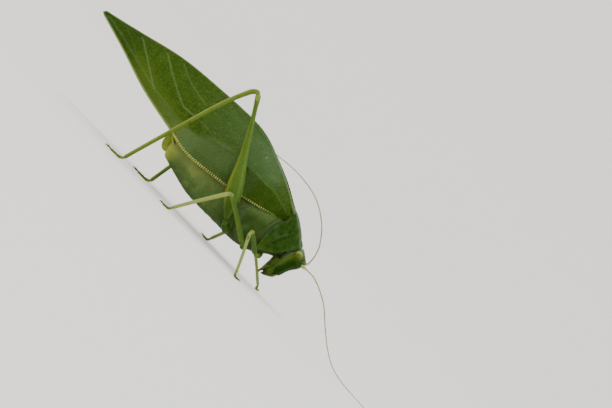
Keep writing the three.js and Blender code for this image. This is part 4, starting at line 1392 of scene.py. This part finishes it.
for side, pose in hindLeg["poses"].items():
    hip, kneeAt, top, ankleAt = legPoints(hindLeg, side, pose)
    bm = startMesh()
    # hip and ring in darker green: painted shadow under the body
    addLimb(bm, mirrored(hindLeg["coxa"], side), hindLeg["coxaSize"], sides=24, rings=30, tints={"blue": 1.0})
    addLimb(bm, mirrored(hindLeg["ring"], side), hindLeg["ringSize"], sides=22, rings=24, tints={"blue": 0.9})
    thigh = [hip, between(hip, kneeAt, 0.25, 0.05, 0.15), between(hip, kneeAt, 0.6, 0.15, 0.1), kneeAt]
    thighAxes = addLimb(bm, thigh, hindFemurDeep, thighWide, sides=36, rings=150, section=thighSection,
                        tints=thighTints)
    spineRow(bm, thighAxes, hindFemurDeep, 0.0, spread(0.62, 0.93, 7), 0.2, 0.05, 0.7, {"dark": 0.5})
    addLobes(bm, thighAxes(0.985), [(-0.9, 0.26, 0), (-0.3, 0.34, 0), (0.12, 0.33, 0.16)],
             [(0, 0.3), (0.7, 0.4), (1, 0.36)], [(0, 0.12), (1, 0.13)], 18, 26, {"warm": 0.6, "pale": 0.35})
    shin = [kneeAt + Vector((0.15, 0, -0.22)), kneeAt + Vector((-0.42, 0, 0.02)),
            top + Vector((-0.12, 0, -0.25)), between(top, ankleAt, 0.2, -0.45),
            between(top, ankleAt, 0.5, -0.35), ankleAt - Vector((0, 0, 0.25))]

    def shinTints(share, angle):
        # the rear face is painted paler, painted light; the front face is a darker green, painted shade
        rear = ease(-cos(angle), 0.1, 0.75)
        spot = hump(share - hindLeg["darkSpot"], 0.009) * ease(cos(angle), -0.3, 0.6)
        return {"pale": 0.55 * rear * ease(share, 0.02, 0.1) + 0.25 * ease(share, 0.05, 0),
                "warm": 0.33 * (1 - rear) + 0.5 * rear, "blue": 0.35 * ease(cos(angle), 0.2, 0.8),
                "dark": 0.9 * spot if side == right else 0}

    shinAxes = addLimb(bm, shin, hindTibiaDeep, lambda share: hindTibiaDeep(share) * hindLeg["tibiaWide"],
                       sides=28, rings=170, section=squareSection, tints=shinTints)
    for turn in (1, -1):
        for angle, shares, *form in (
                (2.45, spread(0.13, 0.96, 34), 0.26, 0.05, 1.1, {"warm": 0.4, "dark": 0.35}),
                (0.7, spread(0.3, 0.95, 12), 0.2, 0.045, 1.2, {"warm": 0.3, "dark": 0.35}),
                (0.98, [0.985], 0.5, 0.07, 1.6, {"warm": 0.3, "dark": 0.5})):
            spineRow(bm, shinAxes, hindTibiaDeep, turn * angle, shares, *form)
    finishLeg(bm, "hind", side, hindLeg, pose, ankleAt)
print("hind legs made")


def slimLeg(name, leg, side, pose):
    hip, kneeAt, top, ankleAt = legPoints(leg, side, pose)
    thick, thin, shinThick, shinThin = leg["sizes"]
    bm = startMesh()
    coxa = mirrored(leg["coxa"], side)
    # the hip and its joint to the femur in darker green: painted shade under the body
    addLimb(bm, coxa, [(0, thick * 1.15), (0.6, thick * 1.05), (1, thick * 0.85)], sides=22, rings=28,
            tints=lambda share, angle: {"blue": 0.7, "pale": 0.1 * ease(share, 0.8, 1)})
    addLimb(bm, [coxa[-1] - (hip - coxa[-1]) * 0.3, (coxa[-1] + hip) / 2, hip],
            [(0, thick * 0.75), (1, thick * 0.85)], sides=18, rings=20, tints={"blue": 0.4, "pale": 0.2})
    femurSize = along([(0, thick * 0.8), (0.12, thick), (0.8, thin), (0.95, thin * 1.12), (1, thin * 1.1)])
    femurAxes = addLimb(bm, [hip, between(hip, kneeAt, 0.5, 0, 0.1), kneeAt], femurSize,
                        lambda share: femurSize(share) * 0.82, across=pose.get("across", (1, 0, 0)), sides=24,
                        rings=80, section=squareSection,
                        tints=lambda share, angle: {"blue": leg["blue"] + 0.3 * ease(cos(angle), 0, -0.8),
                                                    "warm": 0.3 * ease(cos(angle), -0.2, 0.7),
                                                    "pale": 0.35 * ease(share, 0.9, 1)})
    spineRow(bm, femurAxes, femurSize, 0.3, spread(0.35, 0.9, 5), 0.16, 0.04, 0.6, {"dark": 0.4})
    addLobes(bm, femurAxes(0.98), [(-0.45, 0.2, 0), (0, 0.27, 0), (0.14, 0.25, 0)],
             [(0, 0.2), (0.6, 0.3), (1, 0.26)], [(0, 0.1), (1, 0.11)], 16, 20, {"pale": 0.4, "warm": 0.3})
    shinSize = along([(0, shinThick * 0.75), (0.08, shinThick), (0.5, lerp(shinThick, shinThin, 0.6)),
                      (1, shinThin)])

    def swollen(share):
        return shinSize(share) * (1 + leg["ear"] * 0.16 * hump(share - 0.2, 0.12))

    def shinTints(share, angle):
        lit = ease(-cos(angle), -0.4, 0.6)
        slit = leg["ear"] * hump(share - 0.2, 0.07) * hump(abs(sin(angle)) - 1, 0.12)
        ruddy = leg["ear"] * 0.22 * hump(share - 0.2, 0.12)
        return {"pale": (lerp(*leg["shine"], lit) * ease(share, 0.0, 0.1) + 0.2) * (1 - slit) * (1 - ruddy),
                "warm": 0.3 * (1 - lit), "dark": ruddy + 0.5 * slit + 0.45 * ease(share, 0.93, 1)}

    shin = [kneeAt - (top - kneeAt) * 0.12, between(kneeAt, top, 0.55), top, between(top, ankleAt, 0.5),
            ankleAt - Vector((0, 0, 0.25))]
    shinAxes = addLimb(bm, shin, swollen, lambda share: swollen(share) * 0.9, sides=20, rings=90,
                       section=squareSection, tints=shinTints)
    for angle in (0.6, -0.6, 2.5, -2.5):
        spineRow(bm, shinAxes, swollen, angle, spread(0.3, 0.93, 8), 0.17, 0.04, 1.1,
                 {"pale": 0.4, "dark": 0.35})
    finishLeg(bm, name, side, leg, pose, ankleAt)


for name, leg in slimLegs.items():
    for side, pose in leg["poses"].items():
        slimLeg(name, leg, side, pose)
print("legs made")


# studio: one pale dish as floor and backdrop, soft lights and the camera

studio = {
    "dish": [(0.0, 0.0), (0.55, 0.0), (0.8, 0.015), (1.0, 0.07), (1.2, 0.2), (1.38, 0.42), (1.48, 0.7),
             (1.52, 1.05)],
    "turns": 96,
    "colour": (0.86, 0.84, 0.80),
    "roughness": 0.9,
    "specular": 0.1,
    "air": (0.95, 0.98, 1.0),
    "airStrength": 0.75,
}
bm = bmesh.new()
profile = [bm.verts.new((radius, 0, height)) for radius, height in studio["dish"]]
profileEdges = [bm.edges.new(pair) for pair in zip(profile, profile[1:])]
bmesh.ops.spin(bm, geom=profile + profileEdges, cent=(0, 0, 0), axis=(0, 0, 1), angle=tau,
               steps=studio["turns"], use_merge=True)
cleanUp(bm)
if bm.faces[0].normal.z < 0:
    bmesh.ops.reverse_faces(bm, faces=bm.faces)
dishMaterial = bpy.data.materials.new("studio_paper")
dishMaterial.use_nodes = True
paper = dishMaterial.node_tree.nodes["Principled BSDF"]
paper.inputs["Base Color"].default_value = (*studio["colour"], 1)
paper.inputs["Roughness"].default_value = studio["roughness"]
paper.inputs["Specular IOR Level"].default_value = studio["specular"]
dish = addMesh("studio_floor", bm, dishMaterial)

world = bpy.data.worlds.new("studio_air")
world.use_nodes = True
air = world.node_tree.nodes["Background"]
air.inputs["Color"].default_value = (*studio["air"], 1)
air.inputs["Strength"].default_value = studio["airStrength"]
bpy.context.scene.world = world

lamps = {
    "key_light": {"at": (-0.35, -0.55, 1.15), "size": 0.9, "power": 12, "colour": (1.0, 0.98, 0.94)},
    "front_light": {"at": (0.75, -0.55, 0.95), "size": 0.8, "power": 5, "colour": (0.95, 0.98, 1.0)},
    "back_light": {"at": (0.1, 0.8, 1.15), "size": 0.9, "power": 8, "colour": (1.0, 1.0, 0.98)},
}
for name, lamp in lamps.items():
    light = bpy.data.lights.new(name, "AREA")
    light.shape = "SQUARE"
    light.size = lamp["size"]
    light.energy = lamp["power"]
    light.color = lamp["colour"]
    holder = addObject(name, light)
    holder.location = lamp["at"]
    holder.rotation_euler = (Vector((0, 0, 0.01)) - Vector(lamp["at"])).to_track_quat("-Z", "Y").to_euler()

shot = {
    "aim": (-5.24, 0, 16.5),
    "distance": 0.7,
    "pictureWidth": 0.102,
    "sensorWidth": 36,
    "clip": (0.05, 20),
    "elevation": radians(1.2),
    "roll": radians(45.4),
}
cameraData = bpy.data.cameras.new("camera")
cameraData.sensor_width = shot["sensorWidth"]
cameraData.lens = shot["sensorWidth"] * shot["distance"] / shot["pictureWidth"]
cameraData.clip_start, cameraData.clip_end = shot["clip"]
camera = addObject("camera", cameraData)
looking = Vector((0, cos(shot["elevation"]), -sin(shot["elevation"])))
level = Vector((1, 0, 0))
upright = Vector((0, sin(shot["elevation"]), cos(shot["elevation"])))
across = level * cos(shot["roll"]) + upright * sin(shot["roll"])
upward = upright * cos(shot["roll"]) - level * sin(shot["roll"])
turn = Matrix((across, upward, -looking)).transposed().to_4x4()
camera.matrix_world = Matrix.Translation(toFrame @ Vector(shot["aim"]) - looking * shot["distance"]) @ turn
bpy.context.scene.camera = camera
print("studio made")
